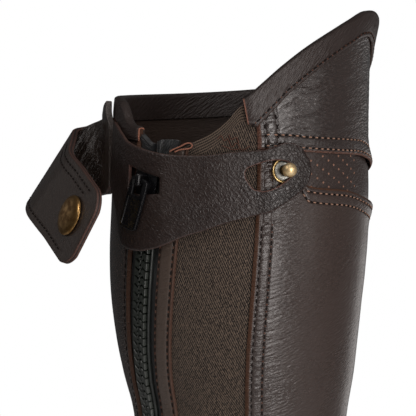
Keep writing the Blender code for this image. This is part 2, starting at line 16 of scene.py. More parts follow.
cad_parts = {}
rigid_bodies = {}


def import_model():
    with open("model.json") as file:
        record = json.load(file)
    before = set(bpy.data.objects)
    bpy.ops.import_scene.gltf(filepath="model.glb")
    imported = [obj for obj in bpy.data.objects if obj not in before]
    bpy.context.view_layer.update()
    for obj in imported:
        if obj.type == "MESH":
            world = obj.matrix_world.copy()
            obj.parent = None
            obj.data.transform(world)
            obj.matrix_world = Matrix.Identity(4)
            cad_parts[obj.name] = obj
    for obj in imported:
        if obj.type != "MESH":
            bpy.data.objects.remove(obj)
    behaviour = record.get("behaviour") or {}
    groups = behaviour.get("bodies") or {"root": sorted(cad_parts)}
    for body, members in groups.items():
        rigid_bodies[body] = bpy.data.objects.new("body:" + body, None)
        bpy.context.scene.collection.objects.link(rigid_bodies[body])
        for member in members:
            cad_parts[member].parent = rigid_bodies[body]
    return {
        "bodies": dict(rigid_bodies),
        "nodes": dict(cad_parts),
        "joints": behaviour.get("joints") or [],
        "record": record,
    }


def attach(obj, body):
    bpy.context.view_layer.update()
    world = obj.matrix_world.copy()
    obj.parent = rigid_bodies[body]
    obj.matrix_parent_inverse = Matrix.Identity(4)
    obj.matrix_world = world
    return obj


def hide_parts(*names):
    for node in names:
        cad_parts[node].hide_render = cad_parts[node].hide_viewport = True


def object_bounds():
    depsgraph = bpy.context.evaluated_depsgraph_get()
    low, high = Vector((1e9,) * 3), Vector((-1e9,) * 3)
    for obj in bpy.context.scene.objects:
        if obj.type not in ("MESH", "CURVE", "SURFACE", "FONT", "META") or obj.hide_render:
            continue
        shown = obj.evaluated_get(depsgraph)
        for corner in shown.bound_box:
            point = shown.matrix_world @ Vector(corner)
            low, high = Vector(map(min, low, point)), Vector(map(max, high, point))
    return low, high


MM = 0.001
BODY = "half_chap"
PULL_BODY = "pull"

# ---------------------------------------------------------------- the form, as in the part

FORM = (
    # height, half_width, half_depth, centre_y
    (-345, 37.0, 52.0, -8.0),
    (-300, 34.0, 44.0, -3.0),
    (-260, 33.0, 40.6, -0.4),
    (-200, 34.2, 39.6, 0.0),
    (-140, 37.4, 41.2, 0.0),
    (-110, 39.6, 42.4, 0.0),
    (-94, 41.3, 43.3, 0.1),
    (-77, 43.8, 45.0, 0.3),
    (-60, 47.2, 48.7, 1.3),
    (-45, 49.5, 51.1, 2.2),
    (-30, 51.3, 52.9, 2.5),
    (-16, 52.5, 54.2, 2.0),
    (0, 53.1, 54.8, 1.1),
    (20, 53.0, 54.7, 0.1),
    (40, 52.3, 54.0, -0.3),
    (62, 51.7, 53.3, -1.5),
    (80, 51.5, 53.1, -2.6),
    (98, 52.2, 53.8, -6.6),
    (110, 52.6, 54.2, -8.5),
)
BACK_LINES = (
    # height, zip_angle, outer_edge_angle
    (-345, -14.0, 50.0),
    (-140, -13.0, 50.0),
    (-77, -8.8, 51.1),
    (-20, 1.2, 55.2),
    (8, 3.9, 55.8),
    (40, 6.5, 56.0),
    (60, 8.0, 53.0),
)
FRONT_SEAM = 180.0
FOOT = -345.0  # the height of the hem at its lowest
HEM = (
    # angle, height
    (0, -345), (60, -345), (120, -339), (180, -330), (240, -339), (300, -345), (360, -345),
)
OUTER_TOP = (
    # angle, height
    (50, 59.0), (58, 66.0), (66, 72.8), (77, 80.6), (88, 87.1), (100, 93.0), (111, 96.9),
    (118, 97.3), (127, 95.5), (138, 90.5), (155, 81.0), (180, 70.5),
)
INNER_TOP = (
    # angle, height
    (180, 70.5), (200, 66.0), (230, 63.0), (260, 61.5), (300, 60.5), (325, 59.9), (337, 57.9),
    (343, 54.0), (347, 49.9), (352, 47.4), (360, 46.4),
)
YOKE_FOOT = (
    # angle, height
    (50, 38.4), (70, 38.0), (79, 37.2), (98, 36.3), (115, 35.6), (128, 33.5), (138, 30.5),
    (150, 27.5), (180, 25.0),
)
OUTER_PANEL_HEAD = (
    # angle, height
    (50, 36.0), (68, 36.0), (72, 34.4), (76, 27.5), (80, 22.6), (92, 21.3), (101, 20.7),
    (110, 19.5), (119, 17.6), (129, 15.5), (138, 13.8), (150, 11.5), (180, 8.0),
)
ELASTIC_TOP = (
    # angle, height
    (15, 38.0), (22, 39.0), (27, 41.5), (33, 44.0), (38, 47.0), (42, 50.4), (49, 57.0),
    (60, 57.2),
)
UNDER, UNDER_THICKNESS = -0.2, 1.2
LEATHER, LEATHER_THICKNESS = 1.5, 1.4
OVER, STRAP_THICKNESS = 3.2, 1.4
SEAM_GAP = 0.3
SEWN_GAP = 0.02  # the front seam as sewn: no light shows through it
BAND_OVERLAP = 6.0
TAPE_EDGE = 12.0
INNER_PANEL_EDGE = -9.2
STAY_STRIP = (8.3, 17.4)
ELASTIC_LEFT, ELASTIC_TUCK = 12.3, 3.0
ZIP_OPENING = (
    # height, half_gap between the tapes
    (-345, 0.3), (21, 0.3), (28, 1.1), (33, 1.2), (41, 0.8),
)
CHAIN_TOP, ROW_TOP, STAY_TOP = 21.0, 36.5, 38.6
BINDING_WIDTH, BINDING_THICKNESS, BINDING_ROOM = 10.0, 1.1, 0.3
SHORT_SIDE, HOOK_SIDE, BINDING_SHEAR = 4.0, 0.6, 0.24
BINDING_START = 48.8
KEEPER = (
    # angle, low, high
    (-23.5, 24.0, 50.0), (-20.7, 19.9, 49.3), (-16.0, 14.0, 47.1), (-13.0, 8.0, 45.4),
    (-10.0, 0.6, 43.8), (-5.9, -3.3, 41.6), (0.0, -5.0, 39.6), (5.4, -5.2, 38.2),
    (12.5, -4.0, 36.8), (18.1, -2.0, 36.1), (25.0, 1.1, 35.8), (34.3, 4.0, 35.9),
    (42.6, 6.9, 36.9), (49.0, 8.7, 37.6), (55.4, 10.4, 37.9), (59.0, 11.2, 38.3),
    (62.2, 12.3, 39.4), (66.2, 14.6, 40.9), (69.9, 17.0, 41.1), (72.8, 19.2, 40.0),
    (75.2, 21.2, 38.4), (77.0, 23.2, 36.0), (78.5, 25.6, 33.4), (79.3, 28.4, 30.6),
)
SLOT = (
    # angle, low, high
    (-3.2, 19.6, 31.4), (5.0, 18.8, 28.8), (14.0, 19.4, 26.4),
)
TEARDROP = (
    # angle, low, high
    (50.4, 27.2, 28.6), (51.2, 25.2, 30.2), (53.7, 21.8, 31.4), (57.0, 20.7, 32.6),
    (60.0, 20.9, 33.5), (64.0, 22.5, 33.8), (67.5, 24.9, 33.3), (70.0, 26.9, 31.9),
    (71.4, 28.8, 30.0),
)
KEEPER_LIFT = (
    # angle, lift
    (-24, 1.6), (-12, 2.3), (-6, 3.0), (13, 2.9), (23, 1.2), (32, 0.2), (45, 0.0), (55, 0.6),
    (62, 1.7), (72, 1.7), (80, 1.3),
)
YOKE_CURL = (135.0, 2.0, 24.0)
PANEL_CURL = (136.0, 2.2, 24.0)
BAND_CURL = (137.0, 1.0, 26.0)
CURL_DEEP = 14.0
STUD_ANGLE, STUD_HEIGHT = 67.4, 29.3

FLAP_WIDTH, FLAP_THICKNESS, FLAP_CORNER = 36.5, 2.8, 10.0
FLAP_ROOT_ANGLE, FLAP_ROOT_HEIGHT, FLAP_ROOT_DEPTH = -28.0, 39.1, 5.3
FLAP_DIP, FLAP_LENGTH, CAP_FROM_END = 15.1, 138.6, 17.5
FLAP_BENDS = (
    # along, slant, turn, radius
    (0.0, 90.0, 6.0, 57.0),
    (12.2, 89.0, 17.7, 17.3),
    (20.9, 80.3, -79.3, 10.8),
    (46.9, 113.2, -128.7, 4.8),
    (76.9, 72.0, -25.8, 33.0),
)

RAW_EDGE = 1.5  # how wide the pared edge of a hide is
LEVEL_RAW_EDGE = 0.75  # and how much of it is bare where the edge runs round the form
PARED = 0.72  # the share of the thickness that is pared away at the very edge


def follow(rows, at, column=1):
    """A column of a table, on a smooth curve with no overshoot, at many places at once."""
    table = np.array(rows, float)
    keys, values = table[:, 0], table[:, column]
    steps = np.diff(values) / np.diff(keys)
    slopes = np.concatenate([steps[:1], np.zeros(len(keys) - 2), steps[-1:]])
    before, after = steps[:-1], steps[1:]
    level = before * after > 0
    slopes[1:-1][level] = 2 * (before * after)[level] / (before + after)[level]
    at = np.clip(at, keys[0], keys[-1])
    k = np.clip(np.searchsorted(keys, at, side="right") - 1, 0, len(keys) - 2)
    width = keys[k + 1] - keys[k]
    t = (at - keys[k]) / width
    return ((2 * t ** 3 - 3 * t ** 2 + 1) * values[k]
            + (t ** 3 - 2 * t ** 2 + t) * width * slopes[k]
            + (3 * t ** 2 - 2 * t ** 3) * values[k + 1]
            + (t ** 3 - t ** 2) * width * slopes[k + 1])


def unit(vectors):
    """Rows of vectors, each made one long."""
    return vectors / np.linalg.norm(vectors, axis=1)[:, None]


def together(*values):
    """Arrays of one shape."""
    return np.broadcast_arrays(*(np.asarray(value, float) for value in values))


def form_points(angle, height, depth):
    """Points round the form, in metres, for arrays of places."""
    angle, height, depth = together(angle, height, depth)
    half_width, half_depth, centre_y = (follow(FORM, height, column) for column in (1, 2, 3))
    across, along = -np.sin(np.radians(angle)), np.cos(np.radians(angle))
    out_x, out_y = across / half_width, along / half_depth
    size = np.hypot(out_x, out_y)
    return np.stack([half_width * across + out_x / size * depth,
                     centre_y + half_depth * along + out_y / size * depth,
                     height], axis=-1) * MM


def form_frame(angle, height, depth):
    """A frame on the form: x across towards larger angles, y up, z out."""
    spot = Vector(form_points(angle, height, depth))
    across = Vector(form_points(angle + 1, height, depth) - form_points(angle - 1, height, depth))
    up = Vector(form_points(angle, height + 2, depth) - form_points(angle, height - 2, depth))
    out = across.cross(up).normalized()
    up = (up - out * up.dot(out)).normalized()
    return Matrix.Translation(spot) @ Matrix((up.cross(out), up, out)).transposed().to_4x4()


def degrees_round(distance, height):
    """The angle that a distance round the back of the form covers."""
    return np.degrees(distance / girth_radius(height))


def girth_radius(height):
    """The middle radius of the form with its leather on."""
    return (follow(FORM, height, 1) + follow(FORM, height, 2)) / 2 + LEATHER


def from_zip(distance):
    """A line up the back, at a distance round from the zip's middle."""
    return lambda height: follow(BACK_LINES, height, 1) + degrees_round(distance, height)


def outer_edge(tuck=0.0):
    """The outer panel's back edge, or a line tucked in from it."""
    return lambda height: follow(BACK_LINES, height, 2) + degrees_round(tuck, height)


def level(value):
    """A line that stays at one value."""
    return lambda at: np.full(np.shape(at), float(value))


def edge(rows, shift=0.0):
    """A line round the form, from a table of its heights."""
    return lambda angle: follow(rows, angle) + shift


def bump(at, middle, rise, reach):
    """A smooth rise about a middle, level beyond its reach."""
    away = np.clip(np.abs(at - middle) / reach, 0, 1)
    return rise * (1 - away ** 2) ** 2


def trough(away, width):
    """A soft groove, 1 on its line."""
    return np.exp(-(away / width) ** 2)


def fade(value, low, high):
    """From 0 at low to 1 at high, smoothly; low may be the larger."""
    t = np.clip((value - low) / (high - low), 0, 1)
    return t * t * (3 - 2 * t)


def spaced(*stretches):
    """Places along a line, from (start, end, step) stretches that follow each other."""
    places = [np.array([stretches[0][0]], float)]
    for start, end, step in stretches:
        count = max(1, round(abs(end - start) / step))
        places.append(np.linspace(start, end, count + 1)[1:])
    return np.concatenate(places)


class Grid:
    """Places over a panel, with each place's distances in from the panel's four edges."""

    def __init__(self, left, right, low, high, columns, rows, margin=12.0):
        across, up = np.meshgrid(columns, rows)
        width, height = columns[-1], rows[-1]
        self.height = low(level(90)(up)) + up
        for _ in range(8):
            start, end = left(self.height), right(self.height)
            real = np.radians(end - start) * girth_radius(self.height)
            self.from_left = self.fit(across, width, real, margin)
            self.from_right = real - self.from_left
            self.angle = start + (end - start) * self.from_left / real
            foot, head = low(self.angle), high(self.angle)
            self.from_low = self.fit(up, height, head - foot, margin)
            self.from_high = head - foot - self.from_low
            self.height = foot + self.from_low

    @staticmethod
    def fit(place, nominal, real, margin):
        """Keep places near both ends at their distances, and share out the middle."""
        margin = np.minimum(margin, np.minimum(nominal, real) * 0.45)
        middle = margin + (place - margin) * (real - 2 * margin) / (nominal - 2 * margin)
        return np.where(place < margin, place,
                        np.where(place > nominal - margin, real - (nominal - place), middle))

    def edge_distance(self, sides):
        """The distance in from the nearest of the named edges."""
        near = np.full(self.angle.shape, 99.0)
        for side in sides:
            near = np.minimum(near, getattr(self, "from_" + side))
        return near


# ---------------------------------------------------------------- meshes

def in_scene(name, data):
    """An object in the scene."""
    made = bpy.data.objects.new(name, data)
    bpy.context.scene.collection.objects.link(made)
    return made


def mesh_of(name, bm):
    """The plain mesh of one that was worked on."""
    mesh = bpy.data.meshes.new(name)
    bm.to_mesh(mesh)
    bm.free()
    return mesh


def shade(mesh, sharp):
    """Shade a mesh smooth, but for edges that turn by more than so many degrees."""
    mesh.shade_smooth()
    mesh.set_sharp_from_angle(angle=radians(sharp))


def new_piece(name, points, faces, material, facts=None):
    """A mesh piece; facts are named values at its points."""
    mesh = bpy.data.meshes.new(name)
    mesh.from_pydata(points, [], faces)
    for fact, values in (facts or {}).items():
        kind = "FLOAT_VECTOR" if values.ndim == 2 else "FLOAT"
        field = "vector" if values.ndim == 2 else "value"
        layer = mesh.attributes.new(fact, kind, "POINT")
        layer.data.foreach_set(field, values.astype(np.float32).ravel())
    mesh.materials.append(material)
    shade(mesh, 48)
    return in_scene(name, mesh)


def wall(name, outer, inner, material, facts, flesh=True):
    """A closed wall between two grids of points, whose rows run up and columns across."""
    rows, columns = outer.shape[:2]
    top = np.arange(rows * columns).reshape(rows, columns)
    under = top + rows * columns
    faces = []
    for grid, turn in ((top, 1), (under, -1)):
        quads = np.stack([grid[:-1, :-1], grid[:-1, 1:], grid[1:, 1:], grid[1:, :-1]], -1)
        faces.append(quads.reshape(-1, 4)[:, ::turn])
    round_it = np.concatenate([np.arange(columns - 1), np.arange(rows - 1) * columns + columns - 1,
                               np.arange(rows * columns - 1, (rows - 1) * columns, -1),
                               np.arange((rows - 1) * columns, 0, -columns)])
    after = np.roll(round_it, -1)
    lower = rows * columns
    faces.append(np.stack([round_it + lower, after + lower, after, round_it], -1))
    points = np.concatenate([outer.reshape(-1, 3), inner.reshape(-1, 3)])
    doubled = {fact: np.concatenate([values.reshape(lower, -1)] * 2).squeeze()
               for fact, values in facts.items()}
    doubled["inside"] = np.repeat([0.0, float(flesh)], lower)
    doubled["layer"] = np.repeat([0.0, float(not flesh)], lower)
    return new_piece(name, points, np.concatenate(faces).tolist(), material, doubled)


def tube_faces(first, rings, count):
    """The faces between rings of count points that follow each other, from a first point on."""
    return [(a + j, a + count + j, a + count + (j + 1) % count, a + (j + 1) % count)
            for a in range(first, first + (rings - 1) * count, count) for j in range(count)]


def finish_piece(piece, nodes=(), body=BODY):
    """Set a piece on its body, in the place of the nodes it stands for."""
    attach(piece, body)
    if nodes:
        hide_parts(*nodes)


def hide(name, grid, material, depth=LEATHER, thickness=LEATHER_THICKNESS, relief=0.0,
         lift=0.0, raw=(), raw_width=RAW_EDGE, worn=0.0):
    """A piece of leather on the form: its raw edges are pared down to a slope."""
    near = grid.edge_distance(raw)
    pared = PARED * thickness * np.clip(1 - near / raw_width, 0, 1) ** 1.3
    outer = form_points(grid.angle, grid.height, depth + lift + thickness + relief - pared)
    inner = form_points(grid.angle, grid.height, depth + lift)
    flat = np.stack([grid.from_left, grid.from_low, grid.from_high], -1)
    upright = grid.edge_distance([side for side in raw if side in ("left", "right")])
    bare = np.maximum(fade(upright, raw_width + 0.25, raw_width - 0.25),
                      fade(near, LEVEL_RAW_EDGE + 0.2, LEVEL_RAW_EDGE - 0.2))
    facts = {"raw": bare, "flat": flat, "worn": worn + 0 * near}
    return wall(name, outer, inner, material, facts)


# ---------------------------------------------------------------- node trees

def fill(tree, socket, value):
    """Link a node's socket to a value of its tree, or set it."""
    if isinstance(value, Value):
        value = value.socket
    if isinstance(value, bpy.types.NodeSocket):
        tree.links.new(value, socket)
    elif isinstance(value, tuple) and len(value) == 3 and len(socket.default_value) == 4:
        socket.default_value = (*value, 1.0)
    else:
        socket.default_value = value


def add_node(tree, kind, settings=None, inputs=None):
    """A node: its settings first, then the values or links of its sockets."""
    node = tree.nodes.new(kind)
    for setting, value in (settings or {}).items():
        setattr(node, setting, value)
    for socket, value in (inputs or {}).items():
        fill(tree, node.inputs[socket], value)
    return node


class Value:
    """A socket of a shader tree, so that shader maths reads as plain expressions."""

    def __init__(self, finish, socket):
        self.finish, self.socket = finish, socket

    def maths(self, operation, *others, swap=False):
        """This value, worked on by a node."""
        values = [self, *others]
        if swap:
            values.reverse()
        return self.finish.add("ShaderNodeMath", {"operation": operation},
                               dict(enumerate(values)))

    def __add__(self, other):
        return self.maths("ADD", other)

    def __sub__(self, other):
        return self.maths("SUBTRACT", other)

    def __mul__(self, other):
        return self.maths("MULTIPLY", other)

    def __rsub__(self, other):
        return self.maths("SUBTRACT", other, swap=True)

    __radd__, __rmul__ = __add__, __mul__


class Finish:
    """A material in the making."""

    def __init__(self, name, **constants):
        self.material = bpy.data.materials.new(name)
        self.material.use_nodes = True
        self.tree = self.material.node_tree
        self.shader = self.tree.nodes["Principled BSDF"]
        for socket, value in constants.items():
            self.set(socket.replace("_", " ").title().replace("Ior", "IOR"), value)

    def set(self, socket, value):
        """Set or link one of the shader's own sockets."""
        fill(self.tree, self.shader.inputs[socket], value)

    def add(self, kind, settings=None, inputs=None, output=0):
        """What a new node gives."""
        return Value(self, add_node(self.tree, kind, settings, inputs).outputs[output])

    def place(self):
        """Places in the piece's own frame, in metres."""
        return self.add("ShaderNodeTexCoord", output="Object")

    def fact(self, name, output="Fac"):
        """A value that the mesh holds at its points."""
        return self.add("ShaderNodeAttribute", {"attribute_name": name}, output=output)

    def noise(self, where, scale, detail=2.0, roughness=0.5, output=0):
        """Soft noise."""
        return self.add("ShaderNodeTexNoise", None, {
            "Vector": where, "Scale": scale, "Detail": detail, "Roughness": roughness}, output)

    def cells(self, where, scale, feature="F1"):
        """The distance to the middles or to the borders of uneven cells."""
        return self.add("ShaderNodeTexVoronoi", {"feature": feature},
                        {"Vector": where, "Scale": scale})

    def flat_parts(self):
        """Places on the flat piece, in millimetres: across, up and down."""
        parts = add_node(self.tree, "ShaderNodeSeparateXYZ", None,
                         {0: self.fact("flat", "Vector")})
        return [Value(self, output) for output in parts.outputs]

    def drawn_out(self, slant, length):
        """Places on the flat piece, in millimetres, shortened along a slanting line."""
        return self.add("ShaderNodeMapping", {"vector_type": "TEXTURE"}, {
            0: self.fact("flat", "Vector"), 2: (0.0, 0.0, radians(slant)),
            3: (length, 1.0, 1000.0)})

    def spread(self, value, low, high, to_low=0.0, to_high=1.0):
        """A range of a value, spread smoothly over another and held at its ends."""
        return self.add("ShaderNodeMapRange", {"interpolation_type": "SMOOTHSTEP"},
                        {0: value, 1: low, 2: high, 3: to_low, 4: to_high})

    def blend(self, share, first, second):
        """A colour between two."""
        return self.add("ShaderNodeMix", {"data_type": "RGBA"},
                        {0: share, 6: first, 7: second}, output=2)

    def relief(self, height, depth):
        """Directions that light a surface as if it were raised, by up to a depth in metres."""
        return self.add("ShaderNodeBump", None, {"Height": height, "Distance": depth})


GLUE = (0.010, 0.006, 0.005)  # the dark line between two layers, at their raw edge
FLESH_DARK, FLESH_LIGHT = (0.030, 0.018, 0.013), (0.060, 0.037, 0.027)


def leather_finish(name, colour, lighter, raw, roughness, grain, depth, pebble, streaks, coat,
                   fine):
    """Dyed hide: pebbles, drawn-out wrinkles, colour that varies with wear, and a raw edge.

    The grain is how many pebbles to a metre and the depth that of the relief. The streaks are
    their slant, how drawn out they are, how many to a millimetre, and their share of the
    relief; fine is the share of the rest. A worn place is lighter, shinier and more deeply
    wrinkled.
    """
    leather = Finish(name, specular_ior_level=0.5, coat_roughness=0.24)
    where = leather.place()
    cloudy = leather.spread(leather.noise(where, 38.0, 3.0), 0.3, 0.75)
    pores = leather.cells(where, grain * 1.7)
    warped = leather.add("ShaderNodeVectorMath", {"operation": "MULTIPLY_ADD"}, {
        0: leather.noise(where, grain * 0.35, output="Color"), 1: (0.0016,) * 3, 2: where})
    pebbles = leather.cells(warped, grain, "DISTANCE_TO_EDGE")
    wrinkle = leather.noise(warped, grain * 0.42, 4.0, 0.62)
    valley = leather.spread(pebbles, 0.0, 0.22)
    slant, drawn, density, share = streaks
    streak = leather.noise(leather.drawn_out(slant, drawn), density, 1.6, 0.55)
    worn = leather.fact("worn")
    # lighter where the streaks rise: partly the grain's own tone, partly a painted highlight on
    # the raised wrinkles
    dye_and_painted_light = leather.blend(cloudy * 0.4 + leather.spread(streak, 0.35, 0.75) * 0.35, colour, lighter)
    # darker at the pores and along the pebbles' edges: partly the grain's own tone, partly painted
    # shade in the hollows
    dye_and_painted_light = leather.blend(1 - leather.spread(pores, 0.0, 0.35) * 0.45 - valley * 0.3 + worn * 0.35,
                         tuple(c * 1.7 for c in lighter), dye_and_painted_light)
    raw_share = leather.fact("raw")
    fibres = leather.noise(where, 900.0, 3.0, 0.7)
    raw_colour = leather.blend(fibres, tuple(c * 0.45 for c in raw),
                               tuple(min(1.0, c * 1.5) for c in raw))
    glued = leather.spread((leather.fact("layer") - 0.45).maths("ABSOLUTE"), 0.06, 0.24)
    raw_colour = leather.blend(glued, GLUE, raw_colour)
    flesh = leather.blend(fibres, FLESH_DARK, FLESH_LIGHT)
    inside = leather.fact("inside")
    shade = leather.blend(inside, dye_and_painted_light, flesh)
    leather.set("Base Color", leather.blend(raw_share, shade, raw_colour))
    leather.set("Roughness", raw_share * 0.3 + inside * 0.35 - worn * 0.10 + leather.spread(
        cloudy * 0.5 + wrinkle * 0.25 + streak * 0.25, 0.1, 0.9, roughness - 0.08,
        roughness + 0.10))
    height = ((valley * pebble + leather.spread(pores, 0.0, 0.6) * 0.2 + wrinkle) * fine
              + streak * (share * 3.0) + fibres * raw_share)
    leather.set("Coat Weight", (1 - raw_share) * coat)
    leather.set("Normal", leather.relief(height * (worn * 0.9 + 1), depth))
    return leather.material


def elastic_finish():
    """Steep twill elastic: fine slanting cords of dark olive brown, ribbed along its top."""
    elastic = Finish("elastic_twill", specular_ior_level=0.25, sheen_weight=0.1,
                     sheen_roughness=0.5)
    across, up, down = elastic.flat_parts()
    top = elastic.spread(down, 7.2, 6.4)
    twill = ((across + up * 0.55) * (2 * pi)).maths("SINE") * 0.5 + 0.5
    rib = (down * (2 * pi / 1.2)).maths("SINE") * 0.5 + 0.5
    slubs = elastic.noise(elastic.drawn_out(55.0, 2.0), 1.7, 1.0, 0.5)
    patchy = elastic.noise(elastic.place(), 1900.0, 1.0, 0.5)
    weave = elastic.spread(twill * 0.36 + slubs * 0.9 + patchy * 0.5, 0.66, 1.10)
    height = weave * (1 - top) + (rib * 0.75 + weave * 0.35) * top
    # near-black in the weave's low places and lighter on its raised cords: partly the twill's
    # pattern, partly painted shade in the gaps
    shade = elastic.spread(height, 0.0, 1.0)
    elastic.set("Base Color", elastic.blend(shade, (0.007, 0.004, 0.003),
                                            (0.142, 0.103, 0.076)))
    elastic.set("Roughness", elastic.spread(patchy, 0.2, 0.8, 0.7, 0.92))
    elastic.set("Normal", elastic.relief(height, 0.00045))
    return elastic.material


def tape_finish():
    """Black woven zip tape."""
    tape = Finish("zip_tape", specular_ior_level=0.6, sheen_weight=0.15)
    across, up, _ = tape.flat_parts()
    ribs = ((up * 1.6 + across * 0.8) * (2 * pi)).maths("SINE") * 0.5 + 0.5
    warp = (across * 1.5 * (2 * pi)).maths("SINE") * 0.5 + 0.5
    tape.set("Base Color", tape.blend(ribs, (0.005, 0.006, 0.007), (0.020, 0.022, 0.024)))
    tape.set("Roughness", tape.spread(ribs, 0.0, 1.0, 0.5, 0.28))
    tape.set("Normal", tape.relief(ribs * 0.6 + warp * 0.5, 0.00015))
    return tape.material


def teeth_finish():
    """Moulded green-black teeth."""
    teeth = Finish("moulded_teeth", specular_ior_level=0.8)
    haze = teeth.noise(teeth.place(), 700.0, 2.0)
    teeth.set("Base Color", teeth.blend(haze, (0.014, 0.017, 0.014), (0.036, 0.043, 0.036)))
    teeth.set("Roughness", teeth.spread(haze, 0.2, 0.8, 0.26, 0.40))
    return teeth.material


def thread_finish(name, dark, light):
    """Twisted thread."""
    thread = Finish(name, specular_ior_level=0.15)
    fuzz = thread.noise(thread.place(), 2600.0, 2.0)
    thread.set("Base Color", thread.blend(fuzz, dark, light))
    thread.set("Roughness", thread.spread(fuzz, 0.2, 0.8, 0.55, 0.8))
    return thread.material


def metal_finish(name, deep, bright, roughness, metallic, cloud):
    """Plated or enamelled metal with slight tarnish, in clouds so many to a metre."""
    metal = Finish(name, specular_ior_level=0.5)
    where = metal.place()
    tarnish = metal.spread(metal.noise(where, cloud, 4.0, 0.6), 0.32, 0.7)
    scuffs = metal.noise(where, cloud * 6, 2.0)
    metal.set("Base Color", metal.blend(tarnish, deep, bright))
    metal.set("Metallic", metallic)
    metal.set("Roughness", metal.spread(tarnish * 0.7 + scuffs * 0.3, 0.2, 0.8,
                                        roughness + 0.1, roughness - 0.06))
    metal.set("Normal", metal.relief(scuffs, 0.00002))
    return metal.material


DYED, DYED_LIGHT = (0.0165, 0.0104, 0.0090), (0.029, 0.0190, 0.0162)
HIDES = (
    # name, colour, lighter, raw edge,
    # roughness, grain, depth, pebble, streaks, coat, fine
    ("stay", (0.036, 0.0248, 0.0195), (0.060, 0.0428, 0.034), (0.060, 0.024, 0.012),
     0.38, 1250.0, 0.00016, 0.3, (10.0, 3.0, 1.1, 0.5), 0.22, 0.4),
    ("smooth", (0.021, 0.0132, 0.0112), (0.036, 0.0238, 0.0200), (0.072, 0.028, 0.012),
     0.29, 1250.0, 0.00019, 0.3, (13.0, 4.0, 1.25, 0.75), 0.35, 0.25),
    ("grained", (0.0165, 0.0102, 0.0088), (0.030, 0.0195, 0.0165), (0.120, 0.052, 0.034),
     0.22, 900.0, 0.00022, 0.25, (20.0, 3.6, 1.15, 1.1), 0.95, 0.14),
    ("band", DYED, DYED_LIGHT, (0.072, 0.028, 0.012),
     0.34, 1100.0, 0.00018, 0.4, (20.0, 2.2, 1.1, 0.8), 0.25, 0.4),
    ("keeper", (0.0100, 0.0057, 0.0048), (0.0175, 0.0108, 0.0091), (0.15, 0.064, 0.048),
     0.40, 600.0, 0.00011, -1.0, (-52.0, 2.6, 0.8, 0.9), 0.10, 0.8),
    ("binding", (0.0135, 0.0083, 0.0072), (0.0225, 0.0146, 0.0125), (0.30, 0.125, 0.080),
     0.42, 1150.0, 0.00018, 0.4, (35.0, 4.0, 1.2, 1.0), 0.04, 0.3),
    ("flap", (0.0150, 0.0096, 0.0074), (0.034, 0.0225, 0.0175), (0.085, 0.038, 0.028),
     0.38, 850.0, 0.00020, 0.5, (120.0, 3.0, 0.8, 0.8), 0.3, 0.6),
)
THREADS = (
    # name, dark, light
    ("dark_thread", (0.004, 0.003, 0.003), (0.016, 0.010, 0.008)),
    ("tan_thread", (0.22, 0.11, 0.07), (0.50, 0.32, 0.24)),
    ("drawn_thread", (0.060, 0.025, 0.017), (0.190, 0.085, 0.060)),
    ("needle_mark", (0.050, 0.020, 0.013), (0.200, 0.085, 0.055)),
    ("perforation", (0.150, 0.078, 0.052), (0.380, 0.215, 0.155)),
    # near-black: painted shade inside the needle holes
    ("needle_hole", (0.003, 0.002, 0.002), (0.006, 0.004, 0.003)),
)
METALS = (
    # name, deep, bright, roughness, metallic, cloud
    ("zip_rail", (0.008, 0.010, 0.009), (0.018, 0.022, 0.020), 0.42, 0.0, 300.0),
    ("black_enamel", (0.003, 0.003, 0.004), (0.006, 0.006, 0.007), 0.24, 0.0, 300.0),
    ("bright_brass", (0.66, 0.44, 0.17), (0.90, 0.68, 0.34), 0.30, 1.0, 300.0),
    ("polished_brass", (0.80, 0.56, 0.28), (0.98, 0.78, 0.46), 0.38, 0.85, 900.0),
    # darkened brass for the stud's post: painted shadow, for the post sits in the ball's shade
    ("brass_in_painted_shadow", (0.05, 0.032, 0.012), (0.14, 0.09, 0.035), 0.4, 1.0, 300.0),
    ("grey_steel", (0.20, 0.20, 0.18), (0.36, 0.36, 0.33), 0.36, 1.0, 300.0),
    ("antique_brass", (0.22, 0.115, 0.036), (0.50, 0.300, 0.115), 0.34, 1.0, 420.0),
)
FINISHES = {row[0]: leather_finish(row[0] + "_leather", *row[1:]) for row in HIDES}
FINISHES["elastic"] = elastic_finish()
FINISHES["tape"] = tape_finish()
FINISHES["teeth"] = teeth_finish()
FINISHES.update({row[0]: thread_finish(*row) for row in THREADS})
FINISHES.update({row[0]: metal_finish(*row) for row in METALS})

# ---------------------------------------------------------------- copies along a path

COPIES_INPUTS = (
    # name, kind
    ("Geometry", "Geometry"), ("Copy", "Object"), ("Pitch", "Float"), ("Finish", "Material"),
)


